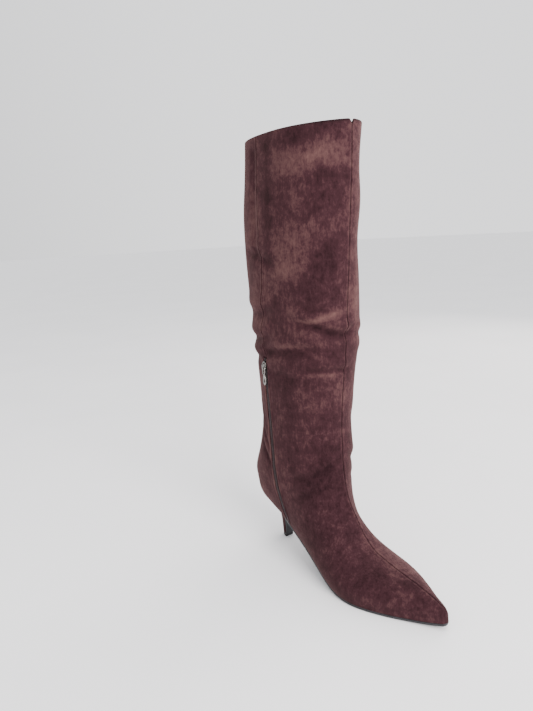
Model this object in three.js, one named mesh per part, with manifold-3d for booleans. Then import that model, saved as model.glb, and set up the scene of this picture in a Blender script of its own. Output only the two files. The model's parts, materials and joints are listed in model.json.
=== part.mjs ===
// A left knee-high boot: a pointed toe, a slim covered heel and a half-length zip on the inner side.
// Lengths are millimetres. The heel tip's centre on the floor is the origin, the toe points along -Y,
// +X is the outer (little-toe) side and +Z is up. "Ahead" is the distance in front of the origin, -Y.
import * as THREE from "three";
import { mergeVertices } from "three/addons/utils/BufferGeometryUtils.js";
import Module from "manifold-3d";

// Foot
const reach = 234; // heel tip's centre to the toe's tip, along the floor
const ballWidth = 86; // outside width across the ball
const seatHeight = 61; // floor to the back edge of the heel seat
const instepHeight = 73; // floor to the top of the instep, halfway along the reach
const toeLift = 4; // rise of the sole under the toe's tip
const toeLiftFrom = 0.78; // share of the reach where that rise begins
const soleThickness = 2.6;
const shankThickness = 2; // the sole under the arch
const flapThickness = 1.4; // the sole where it is turned down the front of the heel
const soleMargin = 0.2; // how far the sole stands outside the upper's lower edge
const soleBevel = 0.5;
const toeCapShare = 0.75; // width of the sole's very tip, as a share of its first section

// Leg
const shaftHeight = 469; // floor to the front of the collar
const calfDepth = 150; // front to back, at its widest
const calfBreadth = 88; // side to side, at its widest
const shaftLean = 25; // how far the collar's front is ahead of the ankle's front
const ankleAhead = 102; // front of the ankle, ahead of the heel tip

// Wall and joints between pieces
const wall = 2; // suede, interlining and lining together
const gap = 0.3; // between pieces that meet
const seamHalf = 1; // half-width of the groove along a closed seam
const seamDepth = 0.6;
const notchDepth = 4; // the nick in the collar above the front seam
const notchWidth = 5;
const insoleThickness = 2;
const insoleGap = 1.2; // between the insole's edge and the wall
const toePuff = 3.2; // half-width of the hollow where it begins, behind the toe
const cutBelow = 6; // how far the hollow is cut on below the sole and above the collar

// Zip
const zipTop = 238; // floor to the upper end of the zip's slot
const zipBottom = 44; // floor to its lower end, just above the sole
const slotHalf = 4.2;
const tapeThickness = 0.7;
const tapeTop = -1.3; // the tape's face, below the skin
const coilHalf = 2.2;
const coilHeight = 1.4;
const coilTop = 0.5; // the coil's face, above the skin
const zipSteps = 40; // stations down the zip
const sliderLength = 11;
const sliderWidth = 7.4;
const plateThickness = 1.2;
const bridgeLength = 6.6;
const bridgeWidth = 1.8;
const bridgeThickness = 0.9;
const barRadius = 0.6; // the pull's bar, held under the slider's bridge
const pullLength = 20;
const eyeWidth = 5.6;
const eyeLength = 8;
const leafWidth = 6;
const pullThickness = 1.2;

// Heel
const topLiftHeight = 4.5;
const tipLength = 9.5;
const tipWidth = 11;
const tipFullness = 0.9; // below 1 the tip's outline is fuller than an oval
const breastAhead = 24; // front of the heel where it meets the sole
const breastDrop = 0.7; // thickness of the heel's front edge there
const seatGap = 0.7; // between the heel and the upper it carries
const heelInset = 0.5; // how far the heel's top edge lies inside the upper's lower edge

// Rows of numbers as objects with named columns.
const table = (names, rows) => rows.map((row) => Object.fromEntries(names.map((name, i) => [name, row[i]])));

// Sections of the foot, from the toe's tip to the back of the heel. Each is a plane that runs from the sole
// to the ridge of the instep: "at" and "topAt" are shares of the reach, "rise" of the seat's height,
// "topRise" of the instep's height, "inner" and "outer" of half the ball's width. "belly" is where on its
// height a section is widest, and "tuck" how wide it is at the sole, as a share of that width. "back",
// "ridgeIn" and "ridgeOut" bend its three quarters: 1 is an oval, less is fuller, more is flatter.
const footTable = table(
  ["at", "rise", "topAt", "topRise", "inner", "outer", "belly", "tuck", "back", "ridgeIn", "ridgeOut"],
  [
    [1, 0, 0.997, 0.23, 0.05, 0.06, 0.5, 0.9, 1, 1, 1],
    [0.996, 0, 0.988, 0.268, 0.1, 0.11, 0.46, 0.93, 1, 1, 1],
    [0.98, 0, 0.965, 0.31, 0.155, 0.165, 0.42, 0.95, 1, 1, 1],
    [0.94, 0, 0.915, 0.361, 0.28, 0.27, 0.39, 0.96, 1, 1, 1.03],
    [0.88, 0, 0.851, 0.406, 0.45, 0.46, 0.36, 0.965, 1, 1.05, 1.07],
    [0.8, 0, 0.772, 0.45, 0.69, 0.67, 0.34, 0.965, 1, 1.1, 1.13],
    [0.72, 0, 0.697, 0.501, 0.9, 0.79, 0.32, 0.965, 1, 1.15, 1.23],
    [0.64, 0, 0.622, 0.58, 1.04, 0.83, 0.29, 0.96, 1, 1.2, 1.41],
    [0.56, 0.02, 0.561, 0.743, 1.07, 0.78, 0.23, 0.94, 1, 1.25, 1.69],
    [0.48, 0.08, 0.52, 0.934, 1.02, 0.7, 0.21, 0.9, 1, 1.3, 1.89],
    [0.39, 0.2, 0.486, 1.108, 0.93, 0.66, 0.24, 0.85, 1, 1.3, 1.86],
    [0.3, 0.36, 0.462, 1.277, 0.86, 0.7, 0.31, 0.81, 1, 1.25, 1.61],
    [0.21, 0.55, 0.45, 1.449, 0.84, 0.76, 0.38, 0.78, 0.95, 1.2, 1.33],
    [0.12, 0.73, 0.443, 1.612, 0.83, 0.82, 0.44, 0.75, 0.88, 1.15, 1.06],
    [0.04, 0.86, 0.439, 1.765, 0.86, 0.86, 0.46, 0.72, 0.8, 1.1, 0.93],
    [-0.03, 0.945, 0.438, 1.897, 0.91, 0.9, 0.47, 0.62, 0.72, 1.05, 0.85],
    [-0.066, 0.99, 0.438, 2.009, 0.93, 0.93, 0.47, 0.42, 0.68, 1, 0.81],
    [-0.08, 1, 0.437, 2.101, 0.94, 0.94, 0.47, 0, 0.66, 1, 0.83],
  ],
);

// Sections of the leg, from the heel's back to the collar. "rise" is the front end's height as a share of the
// shaft's, "lean" how far it has come forward, "depth" a share of the calf's, "drop" how much lower the back
// end is, as a share of the section's depth, and "inner" and "outer" shares of half the calf's breadth.
const legTable = table(
  ["rise", "lean", "depth", "drop", "inner", "outer", "back", "ridgeIn", "ridgeOut"],
  [
    [0.352, 0.01, 0.825, 0.735, 0.94, 0.93, 0.68, 1, 0.87],
    [0.38, 0.04, 0.852, 0.68, 0.94, 0.94, 0.7, 1, 0.9],
    [0.412, 0.09, 0.79, 0.6, 0.94, 0.95, 0.75, 0.99, 0.87],
    [0.45, 0.17, 0.757, 0.5, 0.94, 0.96, 0.78, 0.99, 0.9],
    [0.495, 0.28, 0.781, 0.4, 0.96, 0.97, 0.8, 0.98, 0.88],
    [0.55, 0.4, 0.818, 0.32, 0.97, 0.99, 0.8, 1.01, 0.77],
    [0.615, 0.5, 0.864, 0.25, 0.98, 1, 0.8, 1.06, 0.8],
    [0.69, 0.62, 0.921, 0.19, 0.99, 0.99, 0.8, 1.12, 0.88],
    [0.77, 0.72, 0.961, 0.13, 1, 0.98, 0.8, 1.2, 0.99],
    [0.85, 0.83, 0.979, 0.08, 1, 0.99, 0.8, 1.3, 0.91],
    [0.925, 0.93, 0.971, 0.04, 0.95, 0.97, 0.8, 1.43, 1.02],
    [1, 1, 0.965, 0.015, 0.9, 0.99, 0.8, 1.57, 0.92],
  ],
);
const legBelly = 0.48; // where on its depth a section of the leg is widest

// The seam down the inner side, from the collar to the sole, as the side view shows it: "up" is a share of
// the shaft's height and "ahead" of the reach. Its lower half holds the zip.
const sideLine = table(
  ["up", "ahead"],
  [
    [1, 0.132],
    [0.93, 0.132],
    [0.84, 0.138],
    [0.765, 0.141],
    [0.71, 0.15],
    [0.66, 0.139],
    [0.6, 0.13],
    [0.52, 0.125],
    [0.46, 0.129],
    [0.4, 0.129],
    [0.34, 0.137],
    [0.28, 0.145],
    [0.22, 0.149],
    [0.175, 0.153],
    [0.13, 0.164],
    [0.085, 0.185],
  ],
);

// The heel below its seat: "down" is a share of its height, "spread" how much of the seat's outline is left.
const heelTable = table(
  ["down", "spread"],
  [
    [0, 1],
    [0.05, 0.8],
    [0.12, 0.6],
    [0.22, 0.41],
    [0.35, 0.25],
    [0.52, 0.12],
    [0.74, 0.04],
    [1, 0],
  ],
);

const suede = new THREE.MeshStandardMaterial({ color: 0x573a3b, roughness: 0.95, metalness: 0 });
const heelSuede = new THREE.MeshStandardMaterial({ color: 0x543738, roughness: 0.95, metalness: 0 });
const soleBlack = new THREE.MeshStandardMaterial({ color: 0x1c1d21, roughness: 0.6, metalness: 0 });
const tipBlack = new THREE.MeshStandardMaterial({ color: 0x131316, roughness: 0.5, metalness: 0 });
const liningBrown = new THREE.MeshStandardMaterial({ color: 0x4a3230, roughness: 0.9, metalness: 0 });
const tapeCloth = new THREE.MeshStandardMaterial({ color: 0x3a2022, roughness: 0.85, metalness: 0 });
const coilPlastic = new THREE.MeshStandardMaterial({ color: 0x40262a, roughness: 0.5, metalness: 0 });
const sliderNickel = new THREE.MeshStandardMaterial({ color: 0xb9b6ae, roughness: 0.3, metalness: 1 });
const pullNickel = new THREE.MeshStandardMaterial({ color: 0xc4c2bb, roughness: 0.25, metalness: 1 });

const wasm = await Module();
wasm.setup();

// A closed three.js geometry as a solid: shared vertices merged, faces turned outwards.
function solidOf(geometry) {
  const bare = geometry.clone();
  bare.deleteAttribute("normal");
  bare.deleteAttribute("uv");
  const merged = mergeVertices(bare, 1e-3);
  const { position } = merged.attributes;
  const index = merged.index.array;
  const corner = (i) => new THREE.Vector3().fromBufferAttribute(position, i);
  const kept = [];
  let volume = 0;
  for (let i = 0; i < index.length; i += 3) {
    const [p, q, r] = index.slice(i, i + 3);
    if (p === q || q === r || r === p) continue;
    volume += corner(p).dot(corner(q).cross(corner(r))) / 6;
    kept.push([p, q, r]);
  }
  const facingOut = volume > 0 ? kept : kept.map(([p, q, r]) => [p, r, q]);
  const triVerts = new Uint32Array(facingOut.flat());
  return new wasm.Manifold(new wasm.Mesh({ numProp: 3, vertProperties: position.array, triVerts }));
}

// A solid as a named mesh.
function meshOf(name, solid, material) {
  const made = solid.getMesh();
  const geometry = new THREE.BufferGeometry();
  geometry.setAttribute("position", new THREE.BufferAttribute(made.vertProperties, 3));
  geometry.setIndex(new THREE.BufferAttribute(made.triVerts, 1));
  geometry.computeVertexNormals();
  const mesh = new THREE.Mesh(geometry, material);
  mesh.name = name;
  return mesh;
}

// A closed solid through rings of equally many points. Each end is closed by rungs between its two halves.
function loft(rings) {
  const count = rings[0].length;
  const triangles = [];
  const quad = (a, b, c, d) => triangles.push(a, b, c, a, c, d);
  for (let k = 0; k + 1 < rings.length; k++) {
    for (let i = 0; i < count; i++) {
      const j = (i + 1) % count;
      quad(k * count + i, k * count + j, (k + 1) * count + j, (k + 1) * count + i);
    }
  }
  const last = (rings.length - 1) * count;
  for (let i = 0; i + 1 < count - 1 - i; i++) {
    const far = count - 1 - i;
    quad(i, far, far - 1, i + 1);
    quad(last + i, last + i + 1, last + far - 1, last + far);
  }
  const geometry = new THREE.BufferGeometry();
  const flat = rings.flat().flatMap((point) => point.toArray());
  geometry.setAttribute("position", new THREE.Float32BufferAttribute(flat, 3));
  geometry.setIndex(triangles);
  return solidOf(geometry);
}

// Evenly spaced numbers, both ends included.
const range = (from, to, steps) =>
  Array.from({ length: steps + 1 }, (_, i) => from + ((to - from) * i) / steps);

// A smooth curve through a column of values, "t" counted in rows.
function through(values, t) {
  const last = values.length - 1;
  const i = Math.min(Math.max(Math.floor(t), 0), last - 1);
  const u = t - i;
  const [b, c] = [values[i], values[i + 1]];
  const a = i > 0 ? values[i - 1] : 2 * b - c;
  const d = i + 2 <= last ? values[i + 2] : 2 * c - b;
  return b + 0.5 * u * (c - a + u * (2 * a - 5 * b + 4 * c - d + u * (3 * (b - c) + d - a)));
}

// The place where a value that grows with its place reaches "target".
function placeOf(value, target, from, to) {
  let [low, high] = [from, to];
  for (let i = 0; i < 40; i++) {
    const middle = (low + high) / 2;
    if (value(middle) < target) low = middle;
    else high = middle;
  }
  return (low + high) / 2;
}

const edgeHeight = soleThickness + gap; // the upper's lower edge where the sole is flat on the floor

// A row of the foot's table in millimetres.
function footSection(row) {
  const toeShare = Math.max(0, (row.at - toeLiftFrom) / (1 - toeLiftFrom));
  return {
    lowAhead: row.at * reach,
    lowUp: edgeHeight + row.rise * (seatHeight - soleThickness) + toeLift * toeShare ** 2,
    highAhead: row.topAt * reach,
    highUp: row.topRise * instepHeight,
    inner: (row.inner * ballWidth) / 2,
    outer: (row.outer * ballWidth) / 2,
    belly: row.belly,
    tuck: row.tuck,
    back: row.back,
    ridgeIn: row.ridgeIn,
    ridgeOut: row.ridgeOut,
  };
}

// A row of the leg's table in millimetres.
function legSection(row) {
  const depth = row.depth * calfDepth;
  const front = ankleAhead + row.lean * shaftLean;
  return {
    lowAhead: front - depth,
    lowUp: row.rise * shaftHeight - row.drop * depth,
    highAhead: front,
    highUp: row.rise * shaftHeight,
    inner: (row.inner * calfBreadth) / 2,
    outer: (row.outer * calfBreadth) / 2,
    belly: legBelly,
    tuck: 0,
    back: row.back,
    ridgeIn: row.ridgeIn,
    ridgeOut: row.ridgeOut,
  };
}

const sections = [...footTable.map(footSection), ...legTable.map(legSection)];
const closedFrom = footTable.length - 1; // from this row on a section is a whole oval
const collarRow = sections.length - 1;
const columns = Object.fromEntries(Object.keys(sections[0]).map((key) => [key, sections.map((s) => s[key])]));

// The section at row t with its walls moved in by "inset". It is a rounded shape of four quarters about its
// widest line, "cut" above its lower end; where the upper is open it starts on the sole, at "start" degrees
// round the lower quarters. Heights are measured along the section from its lower end.
function sectionAt(t, inset = 0) {
  const s = Object.fromEntries(Object.entries(columns).map(([key, values]) => [key, through(values, t)]));
  const foot = new THREE.Vector2(s.lowAhead, Math.max(s.lowUp, edgeHeight));
  const along = new THREE.Vector2(s.highAhead, s.highUp).sub(foot);
  const length = along.length();
  along.normalize();
  const cut = s.belly * length;
  const tuck = t >= closedFrom ? 0 : Math.max(s.tuck, 0);
  const lower = cut / (1 - tuck ** (2 / s.back)) ** (s.back / 2) - inset;
  const start = Math.acos(Math.min(1, cut / lower) ** (1 / s.back));
  return {
    foot,
    along,
    length,
    cut,
    lower,
    upper: length - cut - inset,
    start,
    low: cut - lower * Math.cos(start) ** s.back,
    back: s.back,
    inner: { half: s.inner - inset, ridge: s.ridgeIn },
    outer: { half: s.outer - inset, ridge: s.ridgeOut },
  };
}

// A section's own x and height as a point of the boot.
function pointOf(section, x, height) {
  const { foot, along } = section;
  return new THREE.Vector3(x, -(foot.x + along.x * height), foot.y + along.y * height);
}

// A point of a section: p runs from -1, the inner side's lower end, over the ridge at 0 to +1, the outer's.
function onSection(section, p) {
  const { half, ridge } = p < 0 ? section.inner : section.outer;
  const { cut, lower, upper, start, low, back } = section;
  const lowLength = Math.hypot(half * (1 - Math.sin(start) ** back), cut - low);
  const share = lowLength / (lowLength + Math.hypot(half, upper));
  const q = 1 - Math.abs(p);
  if (q < share) {
    const angle = start + (Math.PI / 2 - start) * (q / share);
    const x = half * Math.sin(angle) ** back;
    return pointOf(section, Math.sign(p) * x, cut - lower * Math.max(Math.cos(angle), 0) ** back);
  }
  const angle = (Math.PI / 2) * (1 - (q - share) / (1 - share));
  const x = half * Math.max(Math.sin(angle), 0) ** ridge;
  return pointOf(section, Math.sign(p) * x, cut + upper * Math.max(Math.cos(angle), 0) ** Math.min(ridge, 1));
}

// Half-width of a section at a height in its lower quarters.
function halfWidthAt(section, side, height) {
  const share = Math.min(Math.max((section.cut - height) / section.lower, 0), 1);
  return side.half * (1 - share ** (2 / section.back)) ** (section.back / 2);
}

// The outside at row t and place p: its point, outward normal and the direction up the boot.
function skinAt(t, p) {
  const step = 0.02;
  const at = (row, place) => onSection(sectionAt(row), place);
  const up = at(Math.min(t + step, collarRow), p).sub(at(t - step, p));
  const around = at(t, Math.min(p + step, 1)).sub(at(t, Math.max(p - step, -1)));
  return { point: at(t, p), normal: around.cross(up).normalize() };
}

// The row and place of the inner side's skin that the side view shows at a point.
function innerPlaceAt(ahead, up) {
  const behind = (t) => {
    const { foot, along } = sectionAt(t);
    return (ahead - foot.x) * along.y - (up - foot.y) * along.x;
  };
  const t = placeOf(behind, 0, 0, collarRow);
  const section = sectionAt(t);
  const height = new THREE.Vector2(ahead, up).sub(section.foot).dot(section.along);
  const heightAt = (p) => {
    const point = onSection(section, p);
    return new THREE.Vector2(-point.y, point.z).sub(section.foot).dot(section.along);
  };
  return { t, p: placeOf(heightAt, height, -1, 0) };
}

// Places down the inner side's seam between two heights above the floor.
function alongSideLine(upFrom, upTo, steps) {
  const ups = sideLine.map((row) => row.up * shaftHeight);
  const aheads = sideLine.map((row) => row.ahead * reach);
  return range(upFrom, upTo, steps).map((up) => {
    const row = placeOf((k) => -through(ups, k), -up, 0, ups.length - 1);
    return innerPlaceAt(through(aheads, row), up);
  });
}

// A flat bar that follows places on the skin, from "deep" to "high" along its normal.
function bandAlong(places, halfWidth, deep, high) {
  const skins = places.map(({ t, p }) => skinAt(t, p));
  const rings = skins.map(({ point, normal }, k) => {
    const before = skins[Math.max(k - 1, 0)].point;
    const after = skins[Math.min(k + 1, skins.length - 1)].point;
    const across = after.clone().sub(before).cross(normal).normalize();
    const corner = (side, out) =>
      point.clone().addScaledVector(across, side * halfWidth).addScaledVector(normal, out);
    return [corner(-1, high), corner(1, high), corner(1, deep), corner(-1, deep)];
  });
  return loft(rings);
}

// Rows and half rows of the tables between two rows, with the first added: every piece uses these rows, so
// that pieces that meet have the same corners.
const halfRows = range(0, collarRow, collarRow * 2);
const rowsBetween = (from, to) => [from, ...halfRows.filter((t) => t > from + 0.2 && t <= to)];

// The outside as a solid, with the groove of the front seam along its ridge.
function outerForm() {
  const half = range(0, 1, 14).slice(1);
  const rings = rowsBetween(0, collarRow).map((t) => {
    const section = sectionAt(t);
    const beside = (side) => {
      const lip = placeOf((p) => Math.abs(onSection(section, side * p).x), seamHalf, 0, half[0] * 0.8);
      return onSection(section, side * lip);
    };
    const depth = Math.min(seamDepth, section.inner.half * 0.2);
    const groove = pointOf(section, 0, section.length - depth);
    const inner = half.map((p) => onSection(section, -p)).reverse();
    const outer = half.map((p) => onSection(section, p));
    return [...inner, beside(-1), groove, beside(1), ...outer];
  });
  return loft(rings);
}

// The hollow inside: it runs out below, where the sole closes the upper, and out of the collar.
function innerForm() {
  const places = range(-1, 1, 26);
  const toeEnd = placeOf((t) => sectionAt(t, wall).inner.half, toePuff, 0, closedFrom / 2);
  const rings = rowsBetween(toeEnd, collarRow).map((t) => {
    const section = sectionAt(t, wall);
    const lowEnd = (side, sign) => {
      const x = halfWidthAt(section, side, section.low);
      return pointOf(section, sign * x, section.low - Math.min(cutBelow, x));
    };
    const ring = places.map((p) => onSection(section, p));
    return [lowEnd(section.inner, -1), ...ring, lowEnd(section.outer, 1)];
  });
  const { along } = sectionAt(collarRow);
  const outOfCollar = new THREE.Vector3(0, along.y, along.x).multiplyScalar(cutBelow);
  rings.push(rings.at(-1).map((point) => point.clone().add(outOfCollar)));
  return loft(rings);
}

// A wedge that cuts the nick above the front seam.
function collarNotch() {
  const { highAhead } = sections[collarRow];
  const shape = new THREE.Shape();
  shape.moveTo(0, -notchDepth);
  shape.lineTo(notchWidth, notchDepth);
  shape.lineTo(-notchWidth, notchDepth);
  shape.closePath();
  const geometry = new THREE.ExtrudeGeometry(shape, { depth: wall * 6, bevelEnabled: false });
  geometry.rotateX(Math.PI / 2);
  geometry.translate(0, -highAhead + wall * 3, shaftHeight);
  return solidOf(geometry);
}

const breastRow = placeOf((t) => -sectionAt(t).foot.x, -breastAhead, 0, closedFrom);

// The heel's top outline, inner side to back to outer side, on the underside of the upper.
function seatOutline() {
  const rows = rowsBetween(breastRow, closedFrom);
  const edge = (t, sign) => {
    const section = sectionAt(t);
    const side = sign < 0 ? section.inner : section.outer;
    const x = Math.max(halfWidthAt(section, side, 0) - heelInset, 0);
    const forward = heelInset * (1 - Math.min(1, x / tipLength)); // only round the back
    return new THREE.Vector3(sign * x, -section.foot.x - forward, section.foot.y - seatGap);
  };
  const inner = rows.map((t) => edge(t, -1));
  const outer = rows.slice(0, -1).map((t) => edge(t, 1));
  const outline = [...inner, ...outer.reverse()];
  outline[0].z -= breastDrop;
  outline.at(-1).z -= breastDrop;
  return outline;
}

// The tip's outline with as many points as the seat's: a straight front and a rounded back.
function tipOutline(count, up) {
  return range(-Math.PI / 2, Math.PI / 2, count - 1).map((angle) => {
    const x = (tipWidth / 2) * Math.sign(Math.sin(angle)) * Math.abs(Math.sin(angle)) ** tipFullness;
    const ahead = tipLength / 2 - tipLength * Math.abs(Math.cos(angle)) ** tipFullness;
    return new THREE.Vector3(x, -ahead, up);
  });
}

// Rings of the heel from its seat down to the top lift.
function heelRings() {
  const seat = seatOutline();
  const tip = tipOutline(seat.length, topLiftHeight);
  return heelTable.map(({ down, spread }) =>
    seat.map((top, i) => {
      const bottom = tip[i];
      const ring = bottom.clone().lerp(top, spread);
      ring.z = THREE.MathUtils.lerp(top.z, bottom.z, down);
      return ring;
    }),
  );
}

// The sole is one leaf, from the toe back under the arch and then down the front of the heel. Each station is
// a point of its upper face in the side view, with the half-widths there.
function soleStations(rings) {
  const underUpper = rowsBetween(0, breastRow - 0.3).map((t) => {
    const section = sectionAt(t);
    const rise = (section.foot.y - edgeHeight) / seatHeight;
    return {
      at: new THREE.Vector2(section.foot.x, section.foot.y - gap),
      inner: halfWidthAt(section, section.inner, 0) + soleMargin,
      outer: halfWidthAt(section, section.outer, 0) + soleMargin,
      thickness: THREE.MathUtils.lerp(soleThickness, shankThickness, rise),
    };
  });
  const [tip] = underUpper;
  const toeCap = {
    at: new THREE.Vector2(tip.at.x + soleMargin, tip.at.y),
    inner: tip.inner * toeCapShare,
    outer: tip.outer * toeCapShare,
    thickness: tip.thickness,
  };
  const downHeel = rings.slice(1).map((ring) => ({
    at: new THREE.Vector2(-ring[0].y + gap, ring[0].z),
    inner: -ring[0].x,
    outer: ring.at(-1).x,
    thickness: flapThickness,
  }));
  return [toeCap, ...underUpper, ...downHeel];
}

// The leaf through its stations: flat across, its lower edges bevelled.
function soleSolid(rings) {
  const stations = soleStations(rings);
  const loops = stations.map(({ at, inner, outer, thickness }, k) => {
    const before = stations[Math.max(k - 1, 0)].at;
    const after = stations[Math.min(k + 1, stations.length - 1)].at;
    const back = after.clone().sub(before).normalize();
    const down = new THREE.Vector2(-back.y, back.x);
    if (at.x > toeLiftFrom * reach || at.y < soleThickness + 0.01) down.set(0, -1); // flat on the floor
    const corner = (x, depth) => new THREE.Vector3(x, -(at.x + down.x * depth), at.y + down.y * depth);
    return [
      corner(-inner, 0),
      corner(-inner, thickness - soleBevel),
      corner(-inner + soleBevel, thickness),
      corner(outer - soleBevel, thickness),
      corner(outer, thickness - soleBevel),
      corner(outer, 0),
    ];
  });
  return loft(loops);
}

// The plate inside the boot that the foot stands on.
function insoleSolid() {
  const toeEnd = placeOf((t) => sectionAt(t, wall).inner.half, toePuff * 2, 0, closedFrom / 2);
  const rings = rowsBetween(toeEnd, closedFrom - 1.5).map((t) => {
    const section = sectionAt(t, wall + insoleGap);
    const low = section.low + Math.min(section.low, gap);
    const corner = (side, sign, height) =>
      pointOf(section, sign * halfWidthAt(section, side, height), height);
    return [
      corner(section.inner, -1, low),
      corner(section.inner, -1, low + insoleThickness),
      corner(section.outer, 1, low + insoleThickness),
      corner(section.outer, 1, low),
    ];
  });
  return loft(rings);
}

// A flat outline with holes, given thickness along its normal.
function plate(outline, thickness, holes = []) {
  const shape = new THREE.Shape(outline.map(([x, y]) => new THREE.Vector2(x, y)));
  shape.holes = holes.map((hole) => new THREE.Path(hole.map(([x, y]) => new THREE.Vector2(x, y))));
  return new THREE.ExtrudeGeometry(shape, { depth: thickness, bevelEnabled: false });
}

// A drop's outline from its narrow top to its rounded foot, anticlockwise.
function dropOutline(width, top, bottom, steps) {
  const widest = THREE.MathUtils.lerp(bottom, top, 0.36);
  return range(0, 2 * Math.PI, steps).slice(1).map((angle) => {
    const rise = Math.cos(angle);
    const narrowing = 1 - 0.25 * Math.max(rise, 0);
    const y = widest + rise * (rise > 0 ? top - widest : widest - bottom);
    return [(-width / 2) * Math.sin(angle) * narrowing, y];
  });
}

// Slider and pull in their own frame: x across the zip, y up it, z out of the boot, the origin on the skin.
const plateFrom = coilTop + gap;
const plateTo = plateFrom + plateThickness;
const barHeight = plateTo + gap + barRadius;
const bridgeUnder = barHeight + barRadius + gap;
const postInner = bridgeLength / 2 - bridgeThickness;
const barUp = -postInner + gap + barRadius;

// The slider: a plate narrower at its foot, with a bridge along it that holds the pull's bar.
function sliderSolid() {
  const halfW = sliderWidth / 2;
  const halfL = sliderLength / 2;
  const base = plate([
    [-halfW * 0.7, -halfL],
    [halfW * 0.7, -halfL],
    [halfW * 0.75, -halfL * 0.2],
    [halfW, halfL * 0.45],
    [halfW * 0.6, halfL],
    [-halfW * 0.6, halfL],
    [-halfW, halfL * 0.45],
    [-halfW * 0.75, -halfL * 0.2],
  ], plateThickness);
  base.translate(0, 0, plateFrom);
  const halfB = bridgeLength / 2;
  const foot = plateTo - plateThickness / 2;
  const top = bridgeUnder + bridgeThickness;
  const arch = plate(
    [
      [-halfB, foot],
      [-postInner, foot],
      [-postInner, bridgeUnder],
      [postInner, bridgeUnder],
      [postInner, foot],
      [halfB, foot],
      [halfB, top - bridgeThickness / 2],
      [halfB - bridgeThickness, top],
      [bridgeThickness - halfB, top],
      [-halfB, top - bridgeThickness / 2],
    ],
    bridgeWidth,
  );
  arch.rotateX(Math.PI / 2);
  arch.rotateZ(Math.PI / 2);
  arch.translate(-bridgeWidth / 2, 0, 0);
  return solidOf(base).add(solidOf(arch));
}

// The pull: a bar, an open eye round the bridge and a pierced drop below it.
function pullSolid() {
  const outerHalf = eyeWidth / 2;
  const armWidth = (eyeWidth - bridgeWidth) / 2 - gap * 2;
  const innerHalf = outerHalf - armWidth;
  const neck = barUp - eyeLength;
  const eye = plate(
    [
      [-outerHalf, barUp],
      [-outerHalf, neck + 1],
      [-outerHalf * 0.4, neck - 1],
      [outerHalf * 0.4, neck - 1],
      [outerHalf, neck + 1],
      [outerHalf, barUp],
      [innerHalf, barUp],
      [innerHalf, neck + 1.6],
      [-innerHalf, neck + 1.6],
      [-innerHalf, barUp],
    ],
    pullThickness,
  );
  const leafBottom = barUp - pullLength;
  const hole = dropOutline(leafWidth * 0.4, neck - 2.6, leafBottom + 3, 10);
  const leaf = plate(dropOutline(leafWidth, neck, leafBottom, 20), pullThickness, [hole]);
  for (const flat of [eye, leaf]) flat.translate(0, 0, barHeight - pullThickness / 2);
  const bar = new THREE.CylinderGeometry(barRadius, barRadius, eyeWidth, 10);
  bar.rotateZ(Math.PI / 2);
  bar.translate(0, barUp, barHeight);
  return solidOf(eye).add(solidOf(leaf)).add(solidOf(bar));
}

// The slider's frame on the boot: it sits on the seam just below the slot's upper end.
function sliderFrame() {
  const middle = zipTop - sliderLength * 0.75;
  const [here, above] = [middle, middle + sliderLength / 2].map((up) => alongSideLine(up, up, 1)[0]);
  const { point, normal } = skinAt(here.t, here.p);
  const upwards = skinAt(above.t, above.p).point.sub(point);
  upwards.addScaledVector(normal, -upwards.dot(normal)).normalize();
  const across = upwards.clone().cross(normal);
  return new THREE.Matrix4().makeBasis(across, upwards, normal).setPosition(point);
}

const placed = (solid, matrix) => solid.transform(matrix.elements);

const slotPlaces = alongSideLine(zipTop, zipBottom, zipSteps);
const slot = bandAlong(slotPlaces, slotHalf, -wall * 2, wall);
const seamAboveZip = bandAlong(alongSideLine(shaftHeight - 2, zipTop + 2, 24), seamHalf, -seamDepth, wall);
const upper = outerForm().subtract(innerForm()).subtract(slot).subtract(seamAboveZip).subtract(collarNotch());
const inSlot = alongSideLine(zipTop - gap, zipBottom + gap, zipSteps);
const tape = bandAlong(inSlot, slotHalf - gap, tapeTop - tapeThickness, tapeTop);
const coil = bandAlong(inSlot, coilHalf, coilTop - coilHeight, coilTop);
const rings = heelRings();
const frame = sliderFrame();

const boot = new THREE.Group();
boot.name = "boot";
boot.add(
  meshOf("upper", upper, suede),
  meshOf("insole", insoleSolid(), liningBrown),
  meshOf("outsole", soleSolid(rings), soleBlack),
  meshOf("heel", loft(rings), heelSuede),
  meshOf("top_lift", loft([tipOutline(18, 0), tipOutline(18, topLiftHeight - gap)]), tipBlack),
  meshOf("zip_tape", tape, tapeCloth),
  meshOf("zip_coil", coil, coilPlastic),
  meshOf("zip_slider", placed(sliderSolid(), frame), sliderNickel),
  meshOf("zip_pull", placed(pullSolid(), frame), pullNickel),
);

export default boot;
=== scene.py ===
import json

import bmesh
import bpy
import numpy as np
from mathutils import Matrix, Vector


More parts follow.
